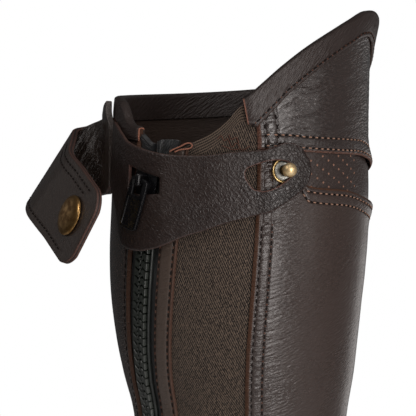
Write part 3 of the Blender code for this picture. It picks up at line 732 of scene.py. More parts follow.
def copies_tree():
    """Copies of an object along the splines of a mesh, x along the path and z out of it."""
    tree = bpy.data.node_groups.new("copies_along_path", "GeometryNodeTree")
    for label, kind in COPIES_INPUTS:
        tree.interface.new_socket(label, in_out="INPUT", socket_type="NodeSocket" + kind)
    tree.interface.new_socket("Geometry", in_out="OUTPUT", socket_type="NodeSocketGeometry")
    entry = add_node(tree, "NodeGroupInput").outputs
    curve = add_node(tree, "GeometryNodeMeshToCurve", None, {"Mesh": entry["Geometry"]})
    spaced_out = add_node(tree, "GeometryNodeResampleCurve", {"mode": "LENGTH"},
                          {"Curve": curve.outputs[0], "Length": entry["Pitch"]})
    tangent = add_node(tree, "GeometryNodeInputTangent")
    out = add_node(tree, "GeometryNodeInputNamedAttribute", {"data_type": "FLOAT_VECTOR"},
                   {"Name": "out"})
    along = add_node(tree, "FunctionNodeAlignRotationToVector", {"axis": "X"},
                     {"Vector": tangent.outputs[0]})
    upright = add_node(tree, "FunctionNodeAlignRotationToVector",
                       {"axis": "Z", "pivot_axis": "X"},
                       {"Rotation": along.outputs[0], "Vector": out.outputs[0]})
    copy = add_node(tree, "GeometryNodeObjectInfo", {"transform_space": "ORIGINAL"},
                    {"Object": entry["Copy"]})
    placed = add_node(tree, "GeometryNodeInstanceOnPoints", None,
                      {"Points": spaced_out.outputs[0], "Instance": copy.outputs["Geometry"],
                       "Rotation": upright.outputs[0]})
    real = add_node(tree, "GeometryNodeRealizeInstances", None, {"Geometry": placed.outputs[0]})
    done = add_node(tree, "GeometryNodeSetMaterial", None,
                    {"Geometry": real.outputs[0], "Material": entry["Finish"]})
    add_node(tree, "NodeGroupOutput", None, {0: done.outputs[0]})
    return tree


def along_paths(tree, name, paths, copy, pitch, finish):
    """A plain mesh of copies along paths, each a pair of points and outward directions."""
    points = np.concatenate([path[0] for path in paths])
    edges, start = [], 0
    for path in paths:
        edges += [(start + i, start + i + 1) for i in range(len(path[0]) - 1)]
        start += len(path[0])
    mesh = bpy.data.meshes.new(name)
    mesh.from_pydata(points.tolist(), edges, [])
    layer = mesh.attributes.new("out", "FLOAT_VECTOR", "POINT")
    layer.data.foreach_set("vector", np.concatenate([path[1] for path in paths])
                           .astype(np.float32).ravel())
    piece = in_scene(name, mesh)
    row = piece.modifiers.new("copies", "NODES")
    row.node_group = tree
    inputs = {"Copy": copy, "Pitch": pitch * MM, "Finish": finish}
    for item in tree.interface.items_tree:
        if item.name in inputs:
            row[item.identifier] = inputs[item.name]
    graph = bpy.context.evaluated_depsgraph_get()
    graph.update()
    plain = bpy.data.meshes.new_from_object(piece.evaluated_get(graph))
    piece.modifiers.clear()
    piece.data = plain
    return piece


def bead(name, length, width, height, sides=6, rings=4):
    """A stitch: a bead that dips into the hide at both ends."""
    points = [(-length / 2, 0, 0)]
    for i in range(1, rings):
        swing = pi * i / rings
        for j in range(sides):
            turn = 2 * pi * j / sides
            fat = sin(swing) ** 0.7
            points.append((-length / 2 * cos(swing), width / 2 * cos(turn) * fat,
                           height / 2 * sin(turn) * fat))
    points.append((length / 2, 0, 0))
    faces = [(0, 1 + (j + 1) % sides, 1 + j) for j in range(sides)]
    for i in range(rings - 2):
        a = 1 + i * sides
        faces += [(a + j, a + (j + 1) % sides, a + sides + (j + 1) % sides, a + sides + j)
                  for j in range(sides)]
    last, end = 1 + (rings - 2) * sides, len(points) - 1
    faces += [(last + j, last + (j + 1) % sides, end) for j in range(sides)]
    mesh = bpy.data.meshes.new(name)
    mesh.from_pydata((np.array(points, float) * MM).tolist(), [], faces)
    mesh.shade_smooth()
    return bpy.data.objects.new(name, mesh)


def form_path(angle, height, depth):
    """A path on the form with its outward directions."""
    angle, height, depth = together(angle, height, depth)
    points = form_points(angle, height, depth)
    return points, form_points(angle, height, depth + 1) - points


def measured(path, pitch, shift=0.0):
    """A path cut to a whole number of pitches, starting a share of a pitch further on."""
    points, out = path
    run = np.concatenate([[0], np.cumsum(np.linalg.norm(np.diff(points, axis=0), axis=1))])
    step = pitch * MM
    count = int(run[-1] / step) - 1
    spots = np.linspace(shift * step, (shift + count) * step, count * 4 + 1)
    return tuple(np.stack([np.interp(spots, run, values[:, k]) for k in range(3)], 1)
                 for values in (points, out))


# ---------------------------------------------------------------- relief worked into the hides

SIDE_ROWS = (2.5, 7.0)  # the outer panel's rows of stitches, in from its back edge
HEAD_ROWS = (2.4, 6.6)  # and down from its head
YOKE_SIDE_ROWS = (3.5, 8.8)
YOKE_FOOT_ROWS = (1.7, 6.4)
STAY_ROWS = (1.0, 7.6)
INNER_ROW = 3.2
OUTSIDE = LEATHER + LEATHER_THICKNESS
WAVES = (
    # length, drift, drift_length, share: ripples that never quite repeat
    (1.55, 0.9, 9.0, 0.55),
    (2.35, 1.4, 14.0, 0.45),
    (3.9, 1.8, 23.0, 0.5),
)


def ripples(place, other, stretch=1.0):
    """Soft uneven ridges across a place, drifting as the other place changes."""
    total = np.zeros(np.broadcast(place, other).shape)
    for length, drift, drift_length, share in WAVES:
        bent = place + drift * np.sin(other / drift_length * 2 + length)
        strength = 0.55 + 0.45 * np.sin(place / (length * 2.7) + other / drift_length)
        total = total + share * strength * np.cos(2 * pi * bent / (length * stretch))
    return total


def between(at, low, high, soft=0.8):
    """1 from low to high, with soft ends."""
    return fade(at, low, low + soft) * fade(at, high, high - soft)


def grooves(away, rows, depth, width):
    """The troughs that rows of stitches pull in a hide."""
    return -depth * sum(trough(away - row, width) for row in rows)


def puff(away, rows, soft):
    """1 between two rows of stitches, where the hide stands up."""
    return between(away, rows[0] + 0.2, rows[1] - 0.2, soft)


def creases(across, up, rows):
    """Ridges, or troughs if negative, listed one by one."""
    total = np.zeros(across.shape)
    for at_across, at_up, slant, length, width, height in rows:
        run, rise = cos(radians(slant)), sin(radians(slant))
        x, y = across - at_across, up - at_up
        lengthways, sideways = x * run + y * rise, -x * rise + y * run
        total += height * np.exp(-(lengthways / length) ** 2 - (sideways / width) ** 2)
    return total


def outer_panel_relief(grid):
    """Puckers between the stitches, and folds that die away from the side and the head."""
    side, head, up = grid.from_left, grid.from_high, grid.height
    clear = fade(side, SIDE_ROWS[1] + 0.2, SIDE_ROWS[1] + 1.2)
    below = fade(head, HEAD_ROWS[1] + 0.2, HEAD_ROWS[1] + 1.4)
    return (grooves(side, SIDE_ROWS, 0.24, 0.5) + grooves(head, HEAD_ROWS, 0.32, 0.55)
            + puff(side, SIDE_ROWS, 1.6) * (
                0.12 + (0.26 + 0.14 * fade(up, 4, 20)) * ripples(up, side, 0.85))
            + puff(head, HEAD_ROWS, 1.6) * (0.22 + 0.08 * ripples(side, head, 1.1))
            + (0.10 + 0.12 * fade(up, -10, 12)) * fade(head, 3.0, 9.0) * clear
            * fade(side, 24, 8) * ripples(up - 0.20 * side, side, 1.15)
            + 0.05 * between(side, -1.0, SIDE_ROWS[0], 0.5) * ripples(up, side)
            + 0.07 * below * fade(head, 16, 9) * ripples(side, head, 1.6))


YOKE_FOLDS = (
    # across, up, slant, length, width, height: millimetres from its corner by the elastic
    (22, 16, 19, 9, 1.3, 0.30), (30, 20, 9, 10, 1.4, 0.32), (17, 22, 23, 7, 1.2, 0.25),
    (40, 17, 20, 8, 1.3, 0.24), (36, 25, 17, 9, 1.5, 0.28), (26, 28, 27, 8, 1.3, 0.24),
    (48, 24, 11, 9, 1.4, 0.22), (46, 33, 21, 9, 1.5, 0.22), (56, 18, 18, 9, 1.3, 0.18),
    (58, 30, 12, 10, 1.5, 0.18), (34, 34, 24, 8, 1.4, 0.18), (66, 24, 17, 9, 1.5, 0.15),
    (20, 11, 12, 8, 1.1, 0.22), (33, 12, 17, 9, 1.1, 0.20), (47, 12, 13, 9, 1.1, 0.16),
)


def yoke_relief(grid):
    """The yoke's listed folds, with puckers between its stitches."""
    side, foot, up = grid.from_left, grid.from_low, grid.height
    broken = 0.5 + 0.5 * ripples(side + 0.3 * foot, foot, 3.2)
    clear = fade(side, 9, 13) * fade(foot, 7, 10) * fade(grid.from_high, 2, 9)
    return (1.2 * creases(side, foot, YOKE_FOLDS)
            + (0.08 + 0.15 * broken * fade(side, 74, 26)) * clear
            * ripples(foot - 0.30 * side, side, 1.2)
            + grooves(side, YOKE_SIDE_ROWS, 0.34, 0.6) * fade(grid.from_high, 5, 8)
            + grooves(foot, YOKE_FOOT_ROWS, 0.30, 0.55)
            + puff(side, YOKE_SIDE_ROWS, 1.8) * (0.24 + 0.28 * ripples(up, side, 1.6))
            + puff(foot, YOKE_FOOT_ROWS, 1.6) * (0.20 + 0.07 * ripples(side, foot, 1.2)))


def stay_relief(grid):
    """A low ridge between the two rows of stitches."""
    side = grid.from_left
    return (puff(side, STAY_ROWS, 1.8) * 0.12 + grooves(side, STAY_ROWS, 0.34, 0.5)
            + 0.03 * ripples(grid.height, side, 1.6))


def inner_panel_relief(grid):
    """A stitched groove by the zip, and the edge of the binding pressed in."""
    side = grid.from_right
    return (grooves(side, (INNER_ROW,), 0.30, 0.6)
            + 0.06 * fade(side, 26, 5) * ripples(grid.height + 0.1 * side, side, 1.9)
            - 0.25 * trough(grid.from_high - BINDING_WIDTH * 0.98, 0.9))


# ---------------------------------------------------------------- pieces on the form

SEAM = float(np.degrees(SEWN_GAP / 2 / follow(FORM, 0, 2)))


def curl(grid, shape, line):
    """The lift of a panel's edge that curls off the form."""
    dying = np.clip(1 - np.abs(grid.height - line(grid.angle)) / CURL_DEEP, 0, 1)
    return bump(grid.angle, *shape) * dying ** 2


def cut_size(points):
    """The width, length and area that a piece is cut to."""
    across = np.linalg.norm(np.diff(points, axis=1), axis=2)
    up = np.linalg.norm(np.diff(points, axis=0), axis=2)
    corner = points[:-1, :-1]
    area = np.linalg.norm(np.cross(points[:-1, 1:] - corner, points[1:, :-1] - corner), axis=2)
    width, length = float(across.sum(1).max()), float(up.sum(0).max())
    return (round(width, 4), round(length, 4)), min(float(area.sum()), width * length * 0.999)


def lay_hide(name, grid, finish, node, slot, held="laid", rests_on=(), **shape):
    """Make a hide, set it in the place of its node and work out its cut."""
    piece = hide(name, grid, finish, **shape)
    finish_piece(piece, (node,))
    middle = shape.get("depth", LEATHER) + LEATHER_THICKNESS / 2
    flat, area = cut_size(form_points(grid.angle, grid.height, middle))


def build_panels():
    """The hides and the elastic, from the wall's lower layer out."""
    front = level(FRONT_SEAM - SEAM)
    foot, head = edge(HEM), edge(OUTER_PANEL_HEAD)
    tall = ((0, 255, 4.0), (255, 262, 2.0))

    grid = Grid(level(61.0), front, edge(OUTER_PANEL_HEAD, -BAND_OVERLAP),
                edge(YOKE_FOOT, BAND_OVERLAP), spaced((0, 110, 0.8)), spaced((0, 28, 0.7)))
    free = fade(grid.from_low, 3, 8) * fade(grid.from_high, 3, 8)
    lay_hide("garter_band_hide", grid, FINISHES["band"], "garter_band", "leather",
             depth=UNDER, thickness=UNDER_THICKNESS,
             lift=1.5 * free * bump(grid.angle, *BAND_CURL))

    grid = Grid(from_zip(ELASTIC_LEFT), outer_edge(ELASTIC_TUCK), foot, edge(ELASTIC_TOP),
                spaced((0, 42, 0.8)), spaced(*tall, (262, 395, 1.0)))
    lay_hide("elastic_weave", grid, FINISHES["elastic"], "elastic_gusset", "elastic",
             held="stretched", depth=UNDER, thickness=UNDER_THICKNESS)

    grid = Grid(outer_edge(), front, foot, head,
                spaced((0, 2, 0.25), (2, 9, 0.32), (9, 26, 0.6), (26, 112, 2.2)),
                spaced(*tall, (262, 362, 0.30)))
    lay_hide("outer_panel_hide", grid, FINISHES["smooth"], "outer_panel", "leather",
             rests_on=("garter_band_hide", "elastic_weave"), lift=curl(grid, PANEL_CURL, head),
             relief=outer_panel_relief(grid), raw=("left", "high"),
             worn=0.8 * fade(grid.from_left, 32, 8))

    grid = Grid(outer_edge(), front, edge(YOKE_FOOT), edge(OUTER_TOP),
                spaced((0, 2, 0.25), (2, 50, 0.38), (50, 114, 0.8)),
                spaced((0, 9, 0.35), (9, 47, 0.42)))
    lay_hide("yoke_hide", grid, FINISHES["grained"], "yoke", "grained_leather",
             rests_on=("garter_band_hide", "elastic_weave"),
             lift=curl(grid, YOKE_CURL, edge(YOKE_FOOT)), relief=yoke_relief(grid),
             raw=("left", "low"), worn=0.3 + 0.7 * fade(grid.from_left, 62, 16))

    grid = Grid(level(FRONT_SEAM + SEAM), lambda height: 360 + from_zip(INNER_PANEL_EDGE)(height),
                foot, edge(INNER_TOP), spaced((0, 118, 3.0), (118, 142, 0.8), (142, 150, 0.35)),
                spaced((0, 255, 4.0), (255, 395, 0.8)))
    lay_hide("inner_panel_hide", grid, FINISHES["smooth"], "inner_panel", "leather",
             relief=inner_panel_relief(grid), raw=("right",))

    grid = Grid(from_zip(STAY_STRIP[0]), from_zip(STAY_STRIP[1]), foot, level(STAY_TOP),
                spaced((0, 9.1, 0.25)), spaced(*tall, (262, 384, 0.6)), 2.5)
    lay_hide("stay_strip_hide", grid, FINISHES["stay"], "stay_strip", "leather",
             rests_on=("elastic_weave",), relief=stay_relief(grid), raw=("left", "right"),
             raw_width=0.45)


TAPE_ENDS = {
    # angle, height: each tape's cut and folded end
    "left": ((-8, 46.6), (-5, 45.6), (-1, 43.6), (3, 41.2), (6, 40.5)),
    "right": ((5, 40.5), (8, 41.8), (12, 42.6), (17, 42.4), (21, 41.4)),
}
FAN = (0.5, 9.0, 15.0)  # the right end's folds fan out from this place: across, down, how many
LOOP = (
    # angle, height: the folded end of the stay strip, seen from its cut edges
    (17.0, 37.4), (19.5, 38.6), (22.4, 39.7), (24.8, 40.9), (26.8, 41.0), (27.6, 39.9),
    (26.7, 38.9), (24.5, 38.5), (22.0, 38.2), (19.5, 37.2),
)
LOOP_DEPTHS, LOOP_THICKNESS = (2.6, 5.0), 0.55
KEEPER_GIRTH = 55.5  # the radius at which the keeper strap's angles are laid out flat
FLAT_DEGREE = radians(1) * KEEPER_GIRTH  # a degree there, in millimetres


def build_loop():
    """The end of the stay strip, folded over lengthwise: a flat loop of leather."""
    line = smooth_ring(LOOP, 6)
    run = np.gradient(line, axis=0)
    run[:, 0] *= FLAT_DEGREE
    run = unit(run)
    beside = np.stack([-run[:, 1] / FLAT_DEGREE, run[:, 0]], 1)
    depths = np.linspace(*LOOP_DEPTHS[::-1], 7)
    faces = []
    for side in (-0.5, 0.5):
        place = line + beside * side * LOOP_THICKNESS
        faces.append(form_points(place[:, :1], place[:, 1:], depths))
    flat = np.stack(together(depths[None], line[:, 1:], 0.0), -1)
    raw = fade(depths, depths[0] - 0.35, depths[0] - 0.1)[None] + 0 * line[:, :1]
    piece = wall("stay_strip_loop", *faces, FINISHES["binding"], {"flat": flat, "raw": raw})
    finish_piece(piece, ())


DRAWN_THREADS = (
    # angle, height: loose ends of thread on the head of the elastic
    ((38.0, 42.6), (39.6, 44.2), (41.0, 42.0), (42.7, 42.8), (44.6, 39.4), (46.8, 41.1),
     (49.1, 38.1), (52.7, 39.8)),
    ((43.0, 44.6), (44.2, 42.6), (46.4, 43.4), (47.6, 41.2)),
    ((40.2, 40.0), (42.6, 39.2), (45.0, 38.2), (48.0, 38.6)),
)
DRAWN_RADIUS, DRAWN_DEPTH, DRAWN_LIFT = 0.17, 1.5, 0.3


def build_drawn_threads():
    """Pulled threads, each a thin bent cord laid on the elastic."""
    points, faces = [], []
    turns = np.radians(np.arange(0, 360, 60))
    for row in DRAWN_THREADS:
        line = smooth_ring(row, 6)
        depth = DRAWN_DEPTH + DRAWN_LIFT * np.sin(np.arange(len(line)))
        place, out = form_path(line[:, 0], line[:, 1], depth)
        run, out = unit(np.gradient(place, axis=0)), unit(out)
        beside = np.cross(run, out)
        round_it = np.cos(turns)[:, None] * beside[:, None] + np.sin(turns)[:, None] * out[:, None]
        ring = place[:, None] + DRAWN_RADIUS * MM * round_it
        start, count = len(points), len(turns)
        points += ring.reshape(-1, 3).tolist()
        faces += tube_faces(start, len(place), count)
        faces.append(tuple(range(start, start + count)))
        faces.append(tuple(range(start + len(place) * count - 1,
                                 start + (len(place) - 1) * count - 1, -1)))
    piece = new_piece("drawn_threads", points, faces, FINISHES["drawn_thread"])
    finish_piece(piece, ())


def tape_inside(side, extra=0.0):
    """The inner edge of a tape, on one side of the zip's opening."""
    return lambda height: (follow(BACK_LINES, height, 1) + side * degrees_round(
        follow(ZIP_OPENING, height) + extra, height))


def build_zip(tree):
    """The tapes, puckered and folded at their top ends, and the chain between them."""
    rows = spaced((0, 255, 4.0), (255, 386, 0.8))
    for side, lines in ((-1, (from_zip(-TAPE_EDGE), tape_inside(-1))),
                        (1, (tape_inside(1), from_zip(TAPE_EDGE)))):
        name = "left" if side < 0 else "right"
        grid = Grid(*lines, edge(HEM), edge(TAPE_ENDS[name]), spaced((0, 11.5, 0.3)), rows, 2.0)
        end = fade(grid.from_high, 8.0, 1.0)
        if side < 0:
            folds = 1.2 * end + 0.55 * end * ripples(grid.from_high, grid.from_left, 1.5)
        else:
            swing = np.arctan2(grid.from_left - FAN[0], grid.from_high - FAN[1])
            folds = end * (0.9 + 0.6 * np.cos(swing * FAN[2]))
        lay_hide("zip_tape_%s_weave" % name, grid, FINISHES["tape"], "zip_tape_" + name, "tape",
                 depth=UNDER, thickness=UNDER_THICKNESS, relief=folds)
    build_chain(tree)


TOOTH_PITCH, TOOTH_HIGH, TOOTH_FOOT = 3.6, 2.0, -0.1
TOOTH_GAP_LEFT = (
    # across, up, opening: the gap between a tooth and the next on its side
    (-4.0, 0.55, 0.15), (-3.2, 0.50, 0.75), (-2.5, 0.12, 1.15), (-1.8, -0.35, 1.10),
    (-1.3, -0.25, 0.70), (-0.9, 0.0, 0.75),
)
TOOTH_GAP_RIGHT = (
    # across, up, opening
    (0.1, -0.05, 0.85), (0.5, 0.30, 1.10), (1.0, 0.62, 1.10), (1.5, 0.30, 1.10),
    (2.0, -0.10, 0.90), (2.7, -0.42, 0.75), (3.5, -0.45, 0.60),
)
TOOTH_HEAD_LEFT = (
    # across, up: the end that meshes with the other side's
    (-0.60, -1.00), (-0.60, -0.55), (-1.35, 0.0), (-0.60, 0.55), (-0.30, 1.2), (-0.32, 2.05),
    (-0.75, 2.05),
)
TOOTH_HEAD_RIGHT = (
    # across, up
    (-0.36, -1.05), (-0.36, -0.55), (0.30, 0.0), (-0.36, 0.55), (-0.05, 1.1),
)
TOOTH_RIM, TOOTH_CROWN = 0.15, 0.18
SAME_ORDER = Vector((7.1, 3.3, 1.0))  # a tooth's points are sorted along this, in every run
RAILS = (
    # name, side, middle, width: the moulded cord that the teeth of a side grow from
    ("left", -1, -5.3, 2.2), ("right", 1, 4.65, 1.3),
)
RAIL_SUNK, RAIL_EDGE, RAIL_CROWN = 0.3, 0.4, 1.1
CHAIN_FOOT = 8.5  # above the hem, clear of the stop


def tooth(name, side):
    """A moulded tooth, shaped by its side's gaps, with a head that meshes and a worn rim."""
    rows = TOOTH_GAP_LEFT if side < 0 else TOOTH_GAP_RIGHT[::-1]
    half = TOOTH_PITCH / 2
    foot = [(across, up + opening / 2 - half) for across, up, opening in rows]
    head = [(across, up - opening / 2 + half) for across, up, opening in rows]
    meshing = TOOTH_HEAD_LEFT if side < 0 else TOOTH_HEAD_RIGHT
    ring = foot + list(meshing) + head[::-1]
    bm = bmesh.new()
    face = bm.faces.new([bm.verts.new((up * MM, -across * MM, TOOTH_FOOT * MM))
                         for across, up in ring])
    grown = bmesh.ops.extrude_face_region(bm, geom=[face])["geom"]
    bmesh.ops.translate(bm, verts=[v for v in grown if isinstance(v, bmesh.types.BMVert)],
                        vec=(0, 0, (TOOTH_HIGH - TOOTH_FOOT) * MM))
    bmesh.ops.recalc_face_normals(bm, faces=bm.faces)
    top = [f for f in bm.faces if f.normal.z > 0.9]
    bmesh.ops.inset_region(bm, faces=top, thickness=TOOTH_RIM * MM, depth=TOOTH_CROWN * MM)
    bm.verts.sort(key=lambda corner: corner.co.dot(SAME_ORDER))
    bm.faces.sort(key=lambda facet: facet.calc_center_median().dot(SAME_ORDER))
    mesh = mesh_of(name, bm)
    shade(mesh, 30)
    return bpy.data.objects.new(name, mesh)


def build_chain(tree):
    """The closed teeth, the open rows above them, and the cords that they stand on."""
    foot = FOOT + CHAIN_FOOT
    for side, name in ((-1, "left"), (1, "right")):
        heights = np.arange(foot, CHAIN_TOP + 0.1, 0.5)
        chain = form_path(from_zip(0.0)(heights), heights, LEATHER)
        row_heights = np.arange(CHAIN_TOP + 1.2, ROW_TOP - 1, 0.5)
        row = form_path(tape_inside(side, 0.3)(row_heights), row_heights, LEATHER)
        shape = tooth("tooth_" + name, side)
        for part, path, node in (("chain", chain, "zip_chain"),
                                 ("row", row, "zip_row_" + name)):
            piece = along_paths(tree, "zip_%s_teeth_%s" % (part, name), [path], shape,
                                TOOTH_PITCH, FINISHES["teeth"])
            finish_piece(piece, (node,))
    for name, side, middle, width in RAILS:
        heights = spaced((foot, -90, 4.0), (-90, ROW_TOP, 1.0))
        parted = fade(heights, CHAIN_TOP - 1, CHAIN_TOP + 6) * follow(ZIP_OPENING, heights)
        swing = np.radians(np.linspace(0, 180, 9))
        rail, under = (np.stack([form_points(
            from_zip(0)(heights) + degrees_round(middle + side * parted + width / 2 * cos(a),
                                                 heights),
            heights, LEATHER - RAIL_SUNK + raised * (RAIL_EDGE + RAIL_CROWN * sin(a)))
            for a in swing], 1) for raised in (1, 0))
        flat = np.stack(together(np.arange(9.0)[None], heights[:, None], 0.0), -1)
        piece = wall("zip_rail_" + name, rail[:, ::-1], under[:, ::-1], FINISHES["zip_rail"],
                     {"flat": flat})
        finish_piece(piece, ())


BINDING_STITCH = 1.6  # up from the binding's lower edge
NARROW_END = 5.0  # the inner binding's width where it ends at the zip
STEEPEST = 1.35  # the most that a slope lengthens the binding's drop
BINDING_TURN = 3.3  # millimetres of the strip for each step of its turn over the edge
BINDING_DEGREE = 0.93  # a degree round the top edges, in millimetres
# the strip runs up its outer side to the first, over the edge to the next, and down to the last
OVER_START, OVER_END, STRIP_END = 3, 5, 8


def top_slope(top, angle):
    """How much longer a drop square to a sloping top edge is, seen straight down."""
    rise = (top(angle + 1) - top(angle - 1)) / 2
    return np.minimum(np.hypot(1.0, rise / np.radians(follow(FORM, 60, 1))), STEEPEST)


def outer_shear(angle):
    """How the outer binding's back end leans, in degrees for each millimetre down."""
    return BINDING_SHEAR * np.clip(1 - (angle - BINDING_START) / 20, 0, 1)


def build_binding(name, columns, top, outer_side, inner_side, shear, nodes):
    """A strip folded over a top edge."""
    inner_face = LEATHER - BINDING_ROOM
    half = LEATHER_THICKNESS / 2 + BINDING_ROOM
    middle = inner_face + half
    slope = top_slope(top, columns)
    shares = np.concatenate([np.linspace(0, OVER_START, 31),
                             np.linspace(OVER_START, OVER_END, 13)[1:],
                             np.linspace(OVER_END, STRIP_END, 12)[1:]])
    across = np.concatenate([[0], np.cumsum(np.diff(columns))]) * BINDING_DEGREE
    ends = np.minimum(across - across[0], across[-1] - across)
    walls = []
    for out in (BINDING_THICKNESS * (0.55 + 0.45 * fade(ends, 0.0, 1.2)), 0.0 * ends):
        rows = []
        for turn in shares:
            if turn <= OVER_START:
                width = BINDING_WIDTH * turn / OVER_START
                depth = middle + half + out
                drop = outer_side(columns) * slope * (1 - turn / OVER_START)
                if out.any():
                    pared = 0.6 * np.clip(1 - width / 1.0, 0, 1) ** 1.3
                    worked = (0.10 * between(width, 2.6, 9.5, 2.0)
                              - 0.28 * trough(width - BINDING_STITCH, 0.6)
                              + 0.05 * ripples(across, width, 1.7) * between(width, 0.4, 6, 1.5))
                    depth = depth - pared + worked
            elif turn >= OVER_END:
                depth = middle - half - out
                drop = inner_side(columns) * slope * (turn - OVER_END) / (STRIP_END - OVER_END)
            else:
                swing = (turn - OVER_START) / (OVER_END - OVER_START) * pi
                depth = middle + (half + out) * cos(swing)
                drop = -(BINDING_ROOM + out) * sin(swing)
            drop = drop + 0 * columns
            rows.append(form_points(columns + shear(columns) * drop, top(columns) - drop, depth))
        walls.append(np.stack(rows))
    flat = np.stack(together(across[None], shares[:, None] * BINDING_TURN, 0.0), -1)
    raw = np.maximum(fade(flat[..., 1], 0.5, 0.1) * 0.05,
                     fade(ends, 0.3, 0.1) * (shares[:, None] < OVER_END))
    piece = wall(name, walls[0], walls[1], FINISHES["binding"], {"flat": flat, "raw": raw})
    finish_piece(piece, nodes)


def build_bindings():
    """Both top bindings; the outer one's back end is cut at a slant."""
    left = float(outer_edge()(66.0))
    columns = np.concatenate([[BINDING_START, BINDING_START + 0.8],
                              np.linspace(left, FRONT_SEAM - SEAM, 200)])
    build_binding("outer_binding_hide", columns, edge(OUTER_TOP), level(BINDING_WIDTH),
                  lambda at: np.where(at < 63, HOOK_SIDE, BINDING_WIDTH), outer_shear,
                  ("outer_top_binding",))
    right = 360 + float(from_zip(INNER_PANEL_EDGE)(47.0))
    columns = np.concatenate([np.linspace(FRONT_SEAM + SEAM, 320, 50)[:-1],
                              np.linspace(320, right, 90)])
    build_binding("inner_binding_hide", columns, edge(INNER_TOP),
                  lambda at: BINDING_WIDTH - (BINDING_WIDTH - NARROW_END) * fade(at, 341, 351),
                  lambda at: np.where(at < 352, BINDING_WIDTH, SHORT_SIDE), level(0.0),
                  ("inner_top_binding",))


# ---------------------------------------------------------------- the keeper strap

def smooth_ring(points, count):
    """A closed or open line through points, with count places between each pair."""
    points = np.array(points, float)
    before = np.vstack([2 * points[0] - points[1], points[:-1]])[:-1]
    after = np.vstack([points[1:], 2 * points[-1] - points[-2]])[1:]
    t = np.linspace(0, 1, count, endpoint=False)[:, None]
    out = []
    for a, b, c, d in zip(before, points[:-1], points[1:], after):
        out.append(0.5 * (2 * b + (c - a) * t + (2 * a - 5 * b + 4 * c - d) * t ** 2
                          + (3 * b - a - 3 * c + d) * t ** 3))
    return np.vstack(out + [points[-1:]])


def outline_ring(rows, count):
    """The outline of (angle, low, high) rows, flat, in millimetres round and up."""
    rows = np.array(rows, float)
    low, high = (smooth_ring(np.stack([rows[:, 0] * FLAT_DEGREE, rows[:, k]], 1), count)
                 for k in (1, 2))
    return np.vstack([low, high[::-1]])


def distance_to(ring, points):
    """How far points are from a closed line."""
    start, end = ring, np.roll(ring, -1, axis=0)
    near = np.full(len(points), 99.0)
    for a, b in zip(start, end):
        run = b - a
        share = np.clip(((points - a) @ run) / max(run @ run, 1e-9), 0, 1)
        near = np.minimum(near, np.linalg.norm(points - a - share[:, None] * run, axis=1))
    return near


def inside_ring(ring, points):
    """Which points are inside a closed line."""
    start, end = ring, np.roll(ring, -1, axis=0)
    inside = np.zeros(len(points), bool)
    for (x0, y0), (x1, y1) in zip(start, end):
        crosses = (y0 > points[:, 1]) != (y1 > points[:, 1])
        with np.errstate(divide="ignore", invalid="ignore"):
            at = x0 + (points[:, 1] - y0) * (x1 - x0) / (y1 - y0)
        inside ^= crosses & (points[:, 0] < at)
    return inside


def shrunk(ring, distance):
    """A ring moved sideways by a distance; positive is to the left of its run."""
    run = unit(np.roll(ring, -1, axis=0) - np.roll(ring, 1, axis=0))
    return ring + np.stack([-run[:, 1], run[:, 0]], 1) * distance


KEEPER_MESH = 0.75
KEEPER_RINGS = (0.22, 0.5, 0.9)  # the mesh follows its edges at these distances in
KEEPER_CLEAR = 1.2  # and its filling starts at this distance
KEEPER_ROUNDING = 0.40
KEEPER_FOLDS = (
    # across, up, slant, length, width, height
    (-3, 10, 70, 8, 1.0, 0.12), (22, 12, 8, 10, 1.4, 0.14), (30, 20, 14, 9, 1.2, 0.10),
    (10, 33, -6, 9, 1.2, 0.10), (44, 16, 20, 7, 1.0, 0.16), (47, 22, 30, 6, 0.9, 0.12),
    (18, 27, 4, 11, 1.3, 0.08), (36, 31, -2, 9, 1.2, 0.10), (52, 15, 24, 5, 0.8, 0.15),
    (4, 3, -8, 9, 1.1, 0.12), (26, 6, 12, 9, 1.0, 0.10), (25, 11, 40, 5, 0.9, 0.18),
    (29, 13, 48, 4, 0.8, 0.16), (21, 9, 34, 5, 0.9, 0.12), (48, 13, 36, 5, 0.8, 0.16),
)


def keeper_mesh(outline, holes):
    """Flat places and triangles that fill the strap's outline and leave its holes open."""
    rings = [outline] + holes
    loops = []
    for i, ring in enumerate(rings):
        inward = 1 if i == 0 else -1
        loops += [ring] + [shrunk(ring, inward * step) for step in KEEPER_RINGS]
    edges, start = [], 0
    for loop in loops:
        count = len(loop)
        edges += [(start + i, start + (i + 1) % count) for i in range(count)]
        start += count
    low, high = outline.min(0), outline.max(0)
    grid_x, grid_y = np.meshgrid(np.arange(low[0], high[0], KEEPER_MESH),
                                 np.arange(low[1], high[1], KEEPER_MESH * 0.87))
    grid_x = grid_x + (np.arange(grid_x.shape[0]) % 2)[:, None] * KEEPER_MESH / 2
    filling = np.stack([grid_x.ravel(), grid_y.ravel()], 1)
    filling = filling[inside_ring(outline, filling)]
    for ring in rings:
        filling = filling[distance_to(ring, filling) > KEEPER_CLEAR]
    for hole in holes:
        filling = filling[~inside_ring(hole, filling)]
    flat = np.vstack(loops + [filling])
    found = delaunay_2d_cdt([Vector(p) for p in flat], edges, [], 0, 1e-5, False)
    flat = np.array([(p.x, p.y) for p in found[0]])
    faces = np.array(found[2])
    centres = flat[faces].mean(1)
    keep = inside_ring(outline, centres)
    for hole in holes:
        keep &= ~inside_ring(hole, centres)
    faces = faces[keep]
    used = np.unique(faces)
    renumber = np.full(len(flat), -1)
    renumber[used] = np.arange(len(used))
    return flat[used], renumber[faces]


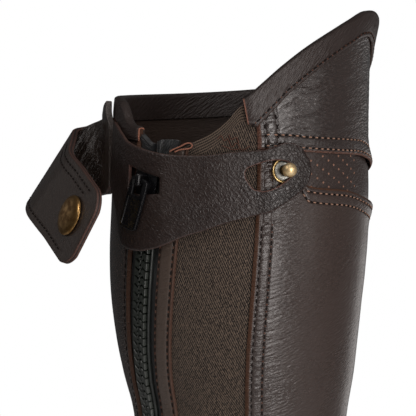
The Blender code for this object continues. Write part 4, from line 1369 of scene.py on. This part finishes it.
def both_sides(faces, count):
    """The faces of a wall: triangles, the same turned over, and the wall's rims."""
    sides = set()
    for a, b, c in faces:
        for start, end in ((a, b), (b, c), (c, a)):
            if (end, start) in sides:
                sides.discard((end, start))
            else:
                sides.add((start, end))
    walls = [tuple(face) for face in faces] + [tuple(face[::-1] + count) for face in faces]
    walls += [(b, a, a + count, b + count) for a, b in sides]
    return [tuple(int(v) for v in face) for face in walls]


def keeper_wear(across, up, near):
    """How worn the strap is: most at its end by the stud, with a patch low on its middle."""
    end = fade(across + 0.35 * (up - 25), 46, 60)
    below = fade(across + up, 64, 72) * fade(up, 26, 20)
    patch = np.exp(-((across - 27) / 9) ** 2 - ((up - 11) / 4) ** 2)
    rim = fade(near, 1.3, 0.3) * fade(across, 30, 54)
    return np.maximum(end * 0.9 + below * 0.5 + 0.45 * patch, rim)


def build_keeper():
    """The wide strap over the top of the zip."""
    outline = outline_ring(KEEPER, 5)
    holes = [outline_ring(SLOT, 6), outline_ring(TEARDROP, 4)]
    flat, faces = keeper_mesh(outline, holes)
    each = np.array([distance_to(ring, flat) for ring in [outline] + holes])
    near, nearest = each.min(0), each.argmin(0)
    across, up = flat[:, 0], flat[:, 1]
    angle = across / FLAT_DEGREE
    lift = follow(KEEPER_LIFT, angle)
    rounding = KEEPER_ROUNDING * np.clip(1 - near / KEEPER_RINGS[-1], 0, 1) ** 2
    worn = keeper_wear(across, up, near)
    relief = (creases(across, up, KEEPER_FOLDS) + 0.025 * ripples(up + 0.2 * across, across, 2.4)
              + 0.06 * worn * ripples(0.7 * up - 0.7 * across, across + up, 1.2))
    outer = form_points(angle, up, OVER + lift + STRAP_THICKNESS + relief - rounding)
    inner = form_points(angle, up, OVER + lift)
    count = len(flat)
    slot_bare = 0.10 + 0.6 * fade(up, 27, 29) * fade(across, 2, 0)
    bare = np.select([nearest == 2, nearest == 1], [0.95, slot_bare], 0.25)
    facts = {"flat": np.vstack([np.stack(together(across, up, 0.0), 1)] * 2),
             "raw": np.tile(fade(near, 0.36, 0.12) * bare, 2),
             "inside": np.repeat([0.0, 1.0], count), "worn": np.tile(worn, 2)}
    piece = new_piece("keeper_strap_hide", np.vstack([outer, inner]).tolist(),
                      both_sides(faces, count), FINISHES["keeper"], facts)
    finish_piece(piece, ("keeper_strap",))


# ---------------------------------------------------------------- the closing flap

def bend(point, flat, along, slant, turn, radius):
    """Bend a strap about a slanting line, for arrays of points."""
    side = 1.0 if turn >= 0 else -1.0
    turn = abs(radians(turn))
    line = np.array((cos(radians(slant)), sin(radians(slant))))
    on = np.array((line[1], -line[0]))
    origin = np.array((along, 0.0))
    past = (flat - origin) @ on
    place = point[..., :2] - origin
    swing = np.clip(past / radius, 0.0, turn)
    run = place @ on
    run = np.where(past > 0, np.where(past > radius * turn, run - radius * turn, 0.0), run)
    rise = point[..., 2] * side - radius
    new_run = run * np.cos(swing) - rise * np.sin(swing)
    new_rise = radius + run * np.sin(swing) + rise * np.cos(swing)
    spot = origin + new_run[..., None] * on + (place @ line)[..., None] * line
    return np.concatenate([spot, (new_rise * side)[..., None]], -1)


def flap_frame():
    """The frame of the flap's root: x along it, y across, z out of its good face."""
    frame = form_frame(FLAP_ROOT_ANGLE, FLAP_ROOT_HEIGHT, FLAP_ROOT_DEPTH + FLAP_THICKNESS / 2)
    return frame @ Matrix.Rotation(pi, 4, "Y") @ Matrix.Rotation(-radians(FLAP_DIP), 4, "Z")


def flap_place(along, across, out):
    """Points of the closing flap in metres."""
    along, across, out = together(along, across, out)
    flat = np.stack([along, across], -1)
    point = np.stack([along, across, out], -1)
    for row in reversed(FLAP_BENDS):
        point = bend(point, flat, *row)
    frame = np.array(flap_frame())
    placed = point * MM @ frame[:3, :3].T + frame[:3, 3]
    held = FLAP_SEWN * fade(across, 14, 8) * fade(along, 30, 12) + FLAP_TOUCH * fade(along, 30, 12)
    settled = follow(FLAP_SETTLE, along) + 2.6 * fade(across, 6, 16) * fade(along, 16, 6)
    inward = form_frame(FLAP_ROOT_ANGLE, FLAP_ROOT_HEIGHT, 0.0).col[2]
    return placed + (settled[..., None] * np.array((0, 0, 1.0))
                     - held[..., None] * np.array(inward[:3])) * MM


FLAP_SEWN, FLAP_TOUCH = 1.5, 0.4  # how far its root is drawn in to the panel, low and high
FLAP_MESH = 0.6  # the longest step of its mesh along it
FLAP_ROUNDING, FLAP_ROUNDED = 0.35, 0.7  # how far its edges are rounded off, and over what width
FLAP_WORN = ((22, 30), (62, 50))  # along it: where the wear at the fold begins, and where it ends
FLAP_SETTLE = (
    # along, up: how the worn strap hangs, against a strap bent true
    (0, 0.0), (14, 0.8), (27, 3.4), (33, 3.2), (38, 2.2), (42, 0.8), (46, -1.0), (50, -2.0),
    (60, -2.2), (76, -2.0), (95, -1.0), (110, 0.0), (140, 0.0),
)
FLAP_CREASES = (
    # along, across, slant, length, width, height: on the face that shows where it is folded
    (30, 6, 120, 9, 1.2, 0.45), (35, 0, 122, 10, 1.1, 0.40), (40, 5, 118, 9, 1.2, 0.42),
    (33, -8, 125, 7, 1.0, 0.30), (44, -3, 120, 8, 1.0, 0.30), (27, -2, 114, 8, 1.1, 0.34),
    (38, -12, 122, 6, 0.9, 0.24), (46, 10, 118, 7, 1.0, 0.30), (37, 12, 128, 6, 0.9, 0.28),
)


def build_flap():
    """The closing flap, opened and folded back."""
    half = FLAP_WIDTH / 2
    start = FLAP_LENGTH - FLAP_CORNER
    swings = np.radians(np.linspace(0, 90, 15))
    ends = start + FLAP_CORNER * np.sin(swings)
    columns = []
    for along, slant, turn, radius in FLAP_BENDS:
        lean = half / tan(radians(slant))
        arc = radius * abs(radians(turn)) / sin(radians(slant))
        columns += [(along - lean, along + lean), (along - lean + arc, along + lean + arc)]
    columns.append((start, start))
    fine = []
    for (low0, high0), (low1, high1) in zip(columns, columns[1:]):
        count = max(1, round(max(low1 - low0, high1 - high0) / FLAP_MESH))
        for i in range(count):
            t = i / count
            fine.append((low0 + (low1 - low0) * t, high0 + (high1 - high0) * t))
    fine += [(end, end) for end in ends]
    lower, upper = np.array(fine).T
    share = np.concatenate([np.linspace(0, 0.06, 9), np.linspace(0.06, 0.94, 55)[1:-1],
                            np.linspace(0.94, 1, 9)])[:, None]
    along = lower + (upper - lower) * share
    past = np.clip(along - start, 0, None)
    reach = half - FLAP_CORNER + np.sqrt(np.clip(FLAP_CORNER ** 2 - past ** 2, 0, None))
    across = reach * (2 * share - 1)
    near = np.minimum(reach - np.abs(across), FLAP_LENGTH - along)
    rounding = FLAP_ROUNDING * np.clip(1 - near / FLAP_ROUNDED, 0, 1) ** 2
    stitched = np.zeros(near.shape)
    for row, low, high in FLAP_ROWS:
        line = trough(across - row, 0.5) * between(along, low, high, 2.0)
        stitched = np.maximum(stitched, line)
    worn = fade(along, *FLAP_WORN[0]) * fade(along, *FLAP_WORN[1])
    folds = creases(along, across, FLAP_CREASES) + 0.22 * worn * ripples(
        0.85 * along + 0.5 * across, 0.85 * across - 0.5 * along, 1.2)
    good = -0.25 * stitched + 0.02 * ripples(along, across, 2.0)
    back = 0.8 * folds * fade(near, 0.0, 3.0)
    faces = [flap_place(along, across, FLAP_THICKNESS / 2 - rounding + good),
             flap_place(along, across, -FLAP_THICKNESS / 2 + rounding - back)]
    flat = np.stack([along, across, 0 * along], -1)
    piece = wall("closing_flap_hide", *faces, FINISHES["flap"],
                 {"flat": flat, "raw": fade(near, 0.45, 0.1), "worn": worn}, flesh=False)
    finish_piece(piece, ("closing_flap",))


FLAP_ROWS = (
    # across, from, to: the stitches on the flap's good face
    (-15.0, 57.0, 130.0), (15.0, 66.0, 130.0), (11.6, 68.0, 126.0),
)


def flap_paths():
    """The stitched rows of the flap's good face, with their outward directions."""
    paths = []
    for across, low, high in FLAP_ROWS:
        along, out = np.arange(low, high, 1.0), FLAP_THICKNESS / 2 - 0.12
        points = flap_place(along, across, out)
        paths.append((points, flap_place(along, across, out + 1) - points))
    return paths


# ---------------------------------------------------------------- turned metal

def turned(name, profile, segments, frame, finish, wave=None):
    """A turned piece: its profile runs from the middle of its top down its outer side."""
    profile = np.array(profile, float)
    turns = np.linspace(0, 2 * pi, segments, endpoint=False)
    points, faces = [(0.0, 0.0, profile[0, 1])], []
    rings = [row for row in profile if row[0] > 0]
    for radius, out in rings:
        for turn in turns:
            size = radius + (wave(turn, radius) if wave else 0.0)
            points.append((size * cos(turn), size * sin(turn), out))
    points.append((0.0, 0.0, profile[-1, 1]))
    faces += [(0, 1 + j, 1 + (j + 1) % segments) for j in range(segments)]
    faces += tube_faces(1, len(rings), segments)
    last, end = 1 + (len(rings) - 1) * segments, len(points) - 1
    faces += [(last + j, end, last + (j + 1) % segments) for j in range(segments)]
    return new_piece(name, [tuple(frame @ (Vector(p) * MM)) for p in points], faces, finish)


def rounded(profile, reach=0.15, steps=3):
    """Round the corners of a profile."""
    profile = [np.array(p, float) for p in profile]
    out = [profile[0]]
    for before, corner, after in zip(profile, profile[1:], profile[2:]):
        back, ahead = before - corner, after - corner
        cut = min(reach, 0.45 * np.linalg.norm(back), 0.45 * np.linalg.norm(ahead))
        start = corner + back / np.linalg.norm(back) * cut
        end = corner + ahead / np.linalg.norm(ahead) * cut
        for i in range(steps + 1):
            t = i / steps
            out.append(start * (1 - t) ** 2 + corner * 2 * t * (1 - t) + end * t ** 2)
    return out + [profile[-1]]


BALL_RADIUS, BALL_OUT = 3.1, 7.2
# each profile: radius, out
POST_PROFILE = ((0.0, BALL_OUT - 1.8), (1.7, BALL_OUT - 2.2), (1.5, 3.2), (1.5, 2.4), (2.1, 2.1),
                (2.2, 1.7), (2.0, 1.5), (0.0, 1.5))
RIM_PROFILE = ((0.0, 0.55), (4.55, 0.55), (4.65, 0.85), (4.95, 1.10), (5.25, 1.0), (5.45, 0.65),
               (5.45, 0.0), (0.0, 0.0))
BAND_PROFILE = ((0.0, 0.6), (1.9, 0.6), (2.0, 1.15), (2.5, 1.3), (3.4, 1.28), (4.3, 1.0),
                (4.55, 0.7), (4.5, 0.3), (0.0, 0.3))
CAP_PROFILE = ((0.0, 2.3), (1.5, 2.29), (3.0, 2.24), (4.6, 2.13), (6.2, 1.93), (7.4, 1.66),
               (8.3, 1.30), (8.8, 0.92), (9.0, 0.5), (8.9, 0.15), (8.6, 0.0), (0.0, 0.0))
SOCKET_PROFILE = ((0.0, 1.2), (2.8, 1.2), (3.2, 2.3), (3.5, 2.4), (5.3, 2.4), (5.7, 2.2),
                  (6.2, 1.4), (6.2, 0.0), (0.0, 0.0))


def serrated(turn, radius):
    """Fine notches round the stud's band."""
    return 0.07 * cos(turn * 36) if radius > 2.1 else 0.0


def build_metal():
    """The ball stud on its ring, and the flap's snap cap and socket."""
    frame = form_frame(STUD_ANGLE, STUD_HEIGHT, OVER)
    ring = turned("stud_ring_rim", rounded(RIM_PROFILE, 0.12), 96, frame, FINISHES["bright_brass"])
    finish_piece(ring, ("stud_ring",))
    band = turned("stud_ring_band", rounded(BAND_PROFILE, 0.12), 216, frame,
                  FINISHES["grey_steel"], serrated)
    finish_piece(band, ())
    ball = [(BALL_RADIUS * sin(radians(a)), BALL_OUT + BALL_RADIUS * cos(radians(a)))
            for a in range(0, 142, 6)]
    finish_piece(turned("stud_ball", ball + [(0.0, ball[-1][1] - 0.2)], 48, frame,
                        FINISHES["polished_brass"]), ("ball_stud",))
    # the post's brass is painted dark: painted shadow under the ball
    finish_piece(turned("stud_post", POST_PROFILE, 48, frame, FINISHES["brass_in_painted_shadow"]), ())
    along = FLAP_LENGTH - CAP_FROM_END
    spot = Vector(flap_place(along, 0.0, 0.0))
    ahead = Vector(flap_place(along + 1, 0.0, 0.0)) - spot
    beside = Vector(flap_place(along, 1.0, 0.0)) - spot
    out = ahead.cross(beside).normalized()
    ahead = ahead.normalized()
    for name, profile, side, finish, node in (
            ("snap_cap_dome", CAP_PROFILE, 1, "antique_brass", "snap_cap"),
            ("snap_socket_ring", SOCKET_PROFILE, -1, "bright_brass", "snap_socket")):
        normal = out * side
        axes = Matrix((ahead, normal.cross(ahead), normal)).transposed().to_4x4()
        place = Matrix.Translation(spot + normal * (FLAP_THICKNESS / 2 + SEAM_GAP) * MM) @ axes
        finish_piece(turned(name, rounded(profile, 0.12), 72, place, FINISHES[finish]),
                     (node,))


# ---------------------------------------------------------------- stitches

DARK_PITCH, TAN_PITCH = 3.1, 3.2
DARK_SUNK, TAN_SUNK, BINDING_SUNK = 0.16, 0.14, 0.12  # how far a row is sunk in its hide
ROW_FOOT, ROW_COARSE = FOOT + 7, -90  # rows start here, and are finely followed from here up
BINDING_ROWS = (
    # top edge, from, to, lean
    (OUTER_TOP, 51.0, 178.0, outer_shear), (INNER_TOP, 183.0, 350.0, level(0.0)),
)
TAN_ROWS = (
    # edge, rows in from it, the angles they start from, way in, the edge's curl
    (YOKE_FOOT, YOKE_FOOT_ROWS, (60.5, 60.5), 1, YOKE_CURL),
    (OUTER_PANEL_HEAD, HEAD_ROWS, (79.5, 72.5), -1, PANEL_CURL),
)
PERFORATION_ANGLE, PERFORATION_HEIGHT, PERFORATION_STEP = 78.7, 35.3, 3.75
PERFORATION_ACROSS, PERFORATION_DOWN, PERFORATION_APART = 3.43, 1.88, 3
PERFORATED = (66, 177)  # the angles between which the band's holes show


def upright_row(line, top, depth):
    """A row of stitches up the form from near the hem."""
    heights = spaced((ROW_FOOT, ROW_COARSE, 6.0), (ROW_COARSE, top, 1.0))
    return form_path(line(heights), heights, depth)


def stitch_paths():
    """The rows in dark thread, those of them whose needle marks show, and the rows in tan."""
    sunk = OUTSIDE - DARK_SUNK
    dark = [upright_row(outer_edge(row), 8, sunk) for row in SIDE_ROWS]
    marked = dark[1:]
    heights = spaced((39.8, 56, 1.0))
    dark += [form_path(outer_edge(row)(heights), heights, sunk) for row in YOKE_SIDE_ROWS]
    stays = [upright_row(from_zip(STAY_STRIP[0] + row), 37, sunk) for row in STAY_ROWS]
    dark += stays + [upright_row(from_zip(INNER_PANEL_EDGE - INNER_ROW), 38, sunk)]
    bound = []
    for table, start, end, lean in BINDING_ROWS:
        angle, top = np.arange(start, end, 1.0), edge(table)
        drop = (BINDING_WIDTH - BINDING_STITCH) * top_slope(top, angle)
        bound.append(form_path(angle + lean(angle) * drop, top(angle) - drop,
                               OUTSIDE + BINDING_ROOM + BINDING_THICKNESS - BINDING_SUNK))
    dark += bound + flap_paths()
    tan_rows = []
    for table, rows, starts, way, shape in TAN_ROWS:
        for row, start in zip(rows, starts):
            angle = np.arange(start, 178, 1.0)
            lift = bump(angle, *shape) * (1 - row / CURL_DEEP) ** 2
            tan_rows.append(form_path(angle, edge(table)(angle) + way * row,
                                      OUTSIDE - TAN_SUNK + lift))
    return dark, marked + stays + bound, tan_rows


def perforation_paths():
    """Slanting rows of small holes over the garter band, where it isn't covered."""
    rows, steps = [], np.arange(0, 13)
    for start in range(-3, 12):
        angle = PERFORATION_ANGLE + PERFORATION_ACROSS * (PERFORATION_APART * start + steps)
        height = PERFORATION_HEIGHT - PERFORATION_DOWN * steps
        held = ((height > edge(OUTER_PANEL_HEAD)(angle) - 1)
                & (angle > PERFORATED[0]) & (angle < PERFORATED[1]))
        if held.sum() > 1:
            rows.append(form_path(angle[held], height[held], UNDER + UNDER_THICKNESS + 0.02))
    return rows


def build_stitches(tree):
    """The threads, their needle marks, beads of painted shade for their holes, and the band's
    perforations.
    """
    dark, marked, tan_rows = stitch_paths()
    for name, paths, copy, pitch, shift, finish in (
            ("stitches_dark", dark, bead("stitch_dark", 2.1, 0.72, 0.62), DARK_PITCH, 0.0,
             "dark_thread"),
            ("needle_marks", marked, bead("needle_mark", 0.7, 0.7, 0.50), DARK_PITCH, 0.5,
             "needle_mark"),
            ("stitches_tan", tan_rows, bead("stitch_tan", 1.65, 0.65, 0.65), TAN_PITCH, 0.0,
             "tan_thread"),
            # near-black beads between the tan stitches: painted shade in the needle holes
            ("needle_holes", tan_rows, bead("needle_hole", 1.7, 0.85, 0.40), TAN_PITCH, 0.5,
             "needle_hole")):
        paths = [measured(path, pitch, shift) for path in paths]
        finish_piece(along_paths(tree, name, paths, copy, pitch, FINISHES[finish]), ())
    dot = bead("perforation", 1.05, 1.05, 0.30, 8)
    finish_piece(along_paths(tree, "band_perforations", perforation_paths(), dot,
                             PERFORATION_STEP, FINISHES["perforation"]), ())


# ---------------------------------------------------------------- light and camera

AZIMUTH, ELEVATION, DISTANCE = 228, 2, 1.5
FRAME_WIDTH = 0.1839  # of the view, at the form's axis
FILM, PICTURE, SHIFT = 36, 416, (-33, 27)  # the shift is in the picture's pixels
TOWARD = Vector((sin(radians(AZIMUTH)), -cos(radians(AZIMUTH)), 0))
RIGHT = Vector((cos(radians(AZIMUTH)), sin(radians(AZIMUTH)), 0))
SOFT_LIGHTS = (
    # name, degrees round to the right of the camera, height, distance, size, power
    ("front_softbox", 8, 0.35, 1.0, (0.34, 0.50), 1.55),
    ("key_softbox", 36, 0.35, 1.0, (0.34, 0.50), 1.45),
    ("side_softbox", 62, 0.15, 1.0, (0.30, 0.60), 0.55),
    ("low_softbox", 28, -0.10, 1.0, (0.30, 0.35), 3.0),
    ("top_softbox", 20, 1.15, 0.45, (0.40, 0.25), 1.0),
    ("rim_softbox", 150, -0.25, 1.0, (0.45, 0.45), 0.42),
    ("flap_softbox", -54, 0.85, 0.9, (0.30, 0.30), 2.0),
    ("cap_softbox", -122, 0.27, 1.0, (0.30, 0.30), 0.07),
)
WARM = (1.0, 0.95, 0.925)
LIGHT_AIM = Vector((0, 0, 0.02))
ROOM_SIDE = TOWARD * 0.5 + RIGHT * 0.7 + Vector((0, 0, 0.3))  # where the room is brightest
ROOM_LIGHT = (-0.5, 0.9, 0.05, 0.15)  # from, to: how far round to that side, and how bright
FLOOR_HALF, FLOOR_DROP = 0.9, 0.002


def build_studio(low):
    """A white sweep, dim light from the room, soft lights and a pale floor."""
    scene = bpy.context.scene
    scene.view_settings.view_transform = "Standard"
    world = bpy.data.worlds.new("white_sweep")
    world.use_nodes = True
    tree = world.node_tree
    seen = add_node(tree, "ShaderNodeLightPath").outputs["Is Camera Ray"]
    way = add_node(tree, "ShaderNodeTexCoord").outputs["Generated"]
    facing = add_node(tree, "ShaderNodeVectorMath", {"operation": "DOT_PRODUCT"},
                      {0: way, 1: ROOM_SIDE}).outputs["Value"]
    room = add_node(tree, "ShaderNodeMapRange", None,
                    {0: facing, **dict(enumerate(ROOM_LIGHT, 1))}).outputs[0]
    strength = add_node(tree, "ShaderNodeMapRange", None, {0: seen, 3: room, 4: 1.0}).outputs[0]
    background = tree.nodes["Background"].inputs
    fill(tree, background[0], (1.0, 1.0, 1.0))
    fill(tree, background[1], strength)
    scene.world = world
    for name, round_to, height, distance, size, power in SOFT_LIGHTS:
        light = bpy.data.lights.new(name, "AREA")
        light.shape = "RECTANGLE"
        light.size, light.size_y = size
        light.energy = power
        light.color = WARM
        holder = in_scene(name, light)
        spot = (TOWARD * cos(radians(round_to)) + RIGHT * sin(radians(round_to))) * distance
        holder.location = spot + Vector((0, 0, height))
        holder.rotation_euler = (LIGHT_AIM - holder.location).to_track_quat("-Z", "Y").to_euler()
    bm = bmesh.new()
    bmesh.ops.create_grid(bm, x_segments=1, y_segments=1, size=FLOOR_HALF)
    floor = in_scene("floor", mesh_of("floor", bm))
    pale = Finish("pale_floor", roughness=0.9)
    pale.set("Base Color", (0.92, 0.92, 0.92))
    floor.data.materials.append(pale.material)
    floor.location = (0, 0, low - FLOOR_DROP)


def build_camera():
    """A long view of the top from behind, on the outer side."""
    camera = bpy.data.cameras.new("camera")
    camera.sensor_width = FILM
    camera.lens = FILM * DISTANCE / FRAME_WIDTH
    camera.shift_x, camera.shift_y = (pixels / PICTURE for pixels in SHIFT)
    camera.clip_end = 20
    holder = in_scene("camera", camera)
    tilt = radians(ELEVATION)
    holder.location = (TOWARD * cos(tilt) + Vector((0, 0, sin(tilt)))) * DISTANCE
    holder.rotation_euler = (-holder.location).to_track_quat("-Z", "Y").to_euler()
    bpy.context.scene.camera = holder


def corners(box):
    """A box's two corners as plain numbers."""
    return [[float(value) for value in corner] for corner in box]


ENAMELLED = (
    # node, body, how wide its rounded edges are
    ("slider", BODY, 0.30), ("zip_pull", PULL_BODY, 0.18), ("zip_stop", BODY, 0.25),
)


def soften_metal(nodes):
    """The slider, its pull and the stop, with their sharp edges worn round."""
    for name, body, width in ENAMELLED:
        node = nodes[name]
        bm = bmesh.new()
        bm.from_mesh(node.data)
        bm.transform(node.matrix_world)
        bmesh.ops.remove_doubles(bm, verts=bm.verts, dist=0.002 * MM)
        sharp = [e for e in bm.edges if len(e.link_faces) == 2
                 and e.calc_face_angle(0.0) > radians(40)]
        bmesh.ops.bevel(bm, geom=sharp, offset=width * MM, segments=2, profile=0.5,
                        affect="EDGES", clamp_overlap=True)
        mesh = mesh_of(name + "_enamel", bm)
        mesh.materials.clear()
        mesh.materials.append(FINISHES["black_enamel"])
        shade(mesh, 50)
        finish_piece(in_scene(name + "_enamel", mesh), (name,), body)


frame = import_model()
cad_box = corners(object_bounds())
build_camera()
build_studio(cad_box[0][2])
copies = copies_tree()
build_panels()
build_bindings()
build_zip(copies)
build_loop()
build_drawn_threads()
build_keeper()
build_metal()
build_flap()
build_stitches(copies)
soften_metal(frame["nodes"])
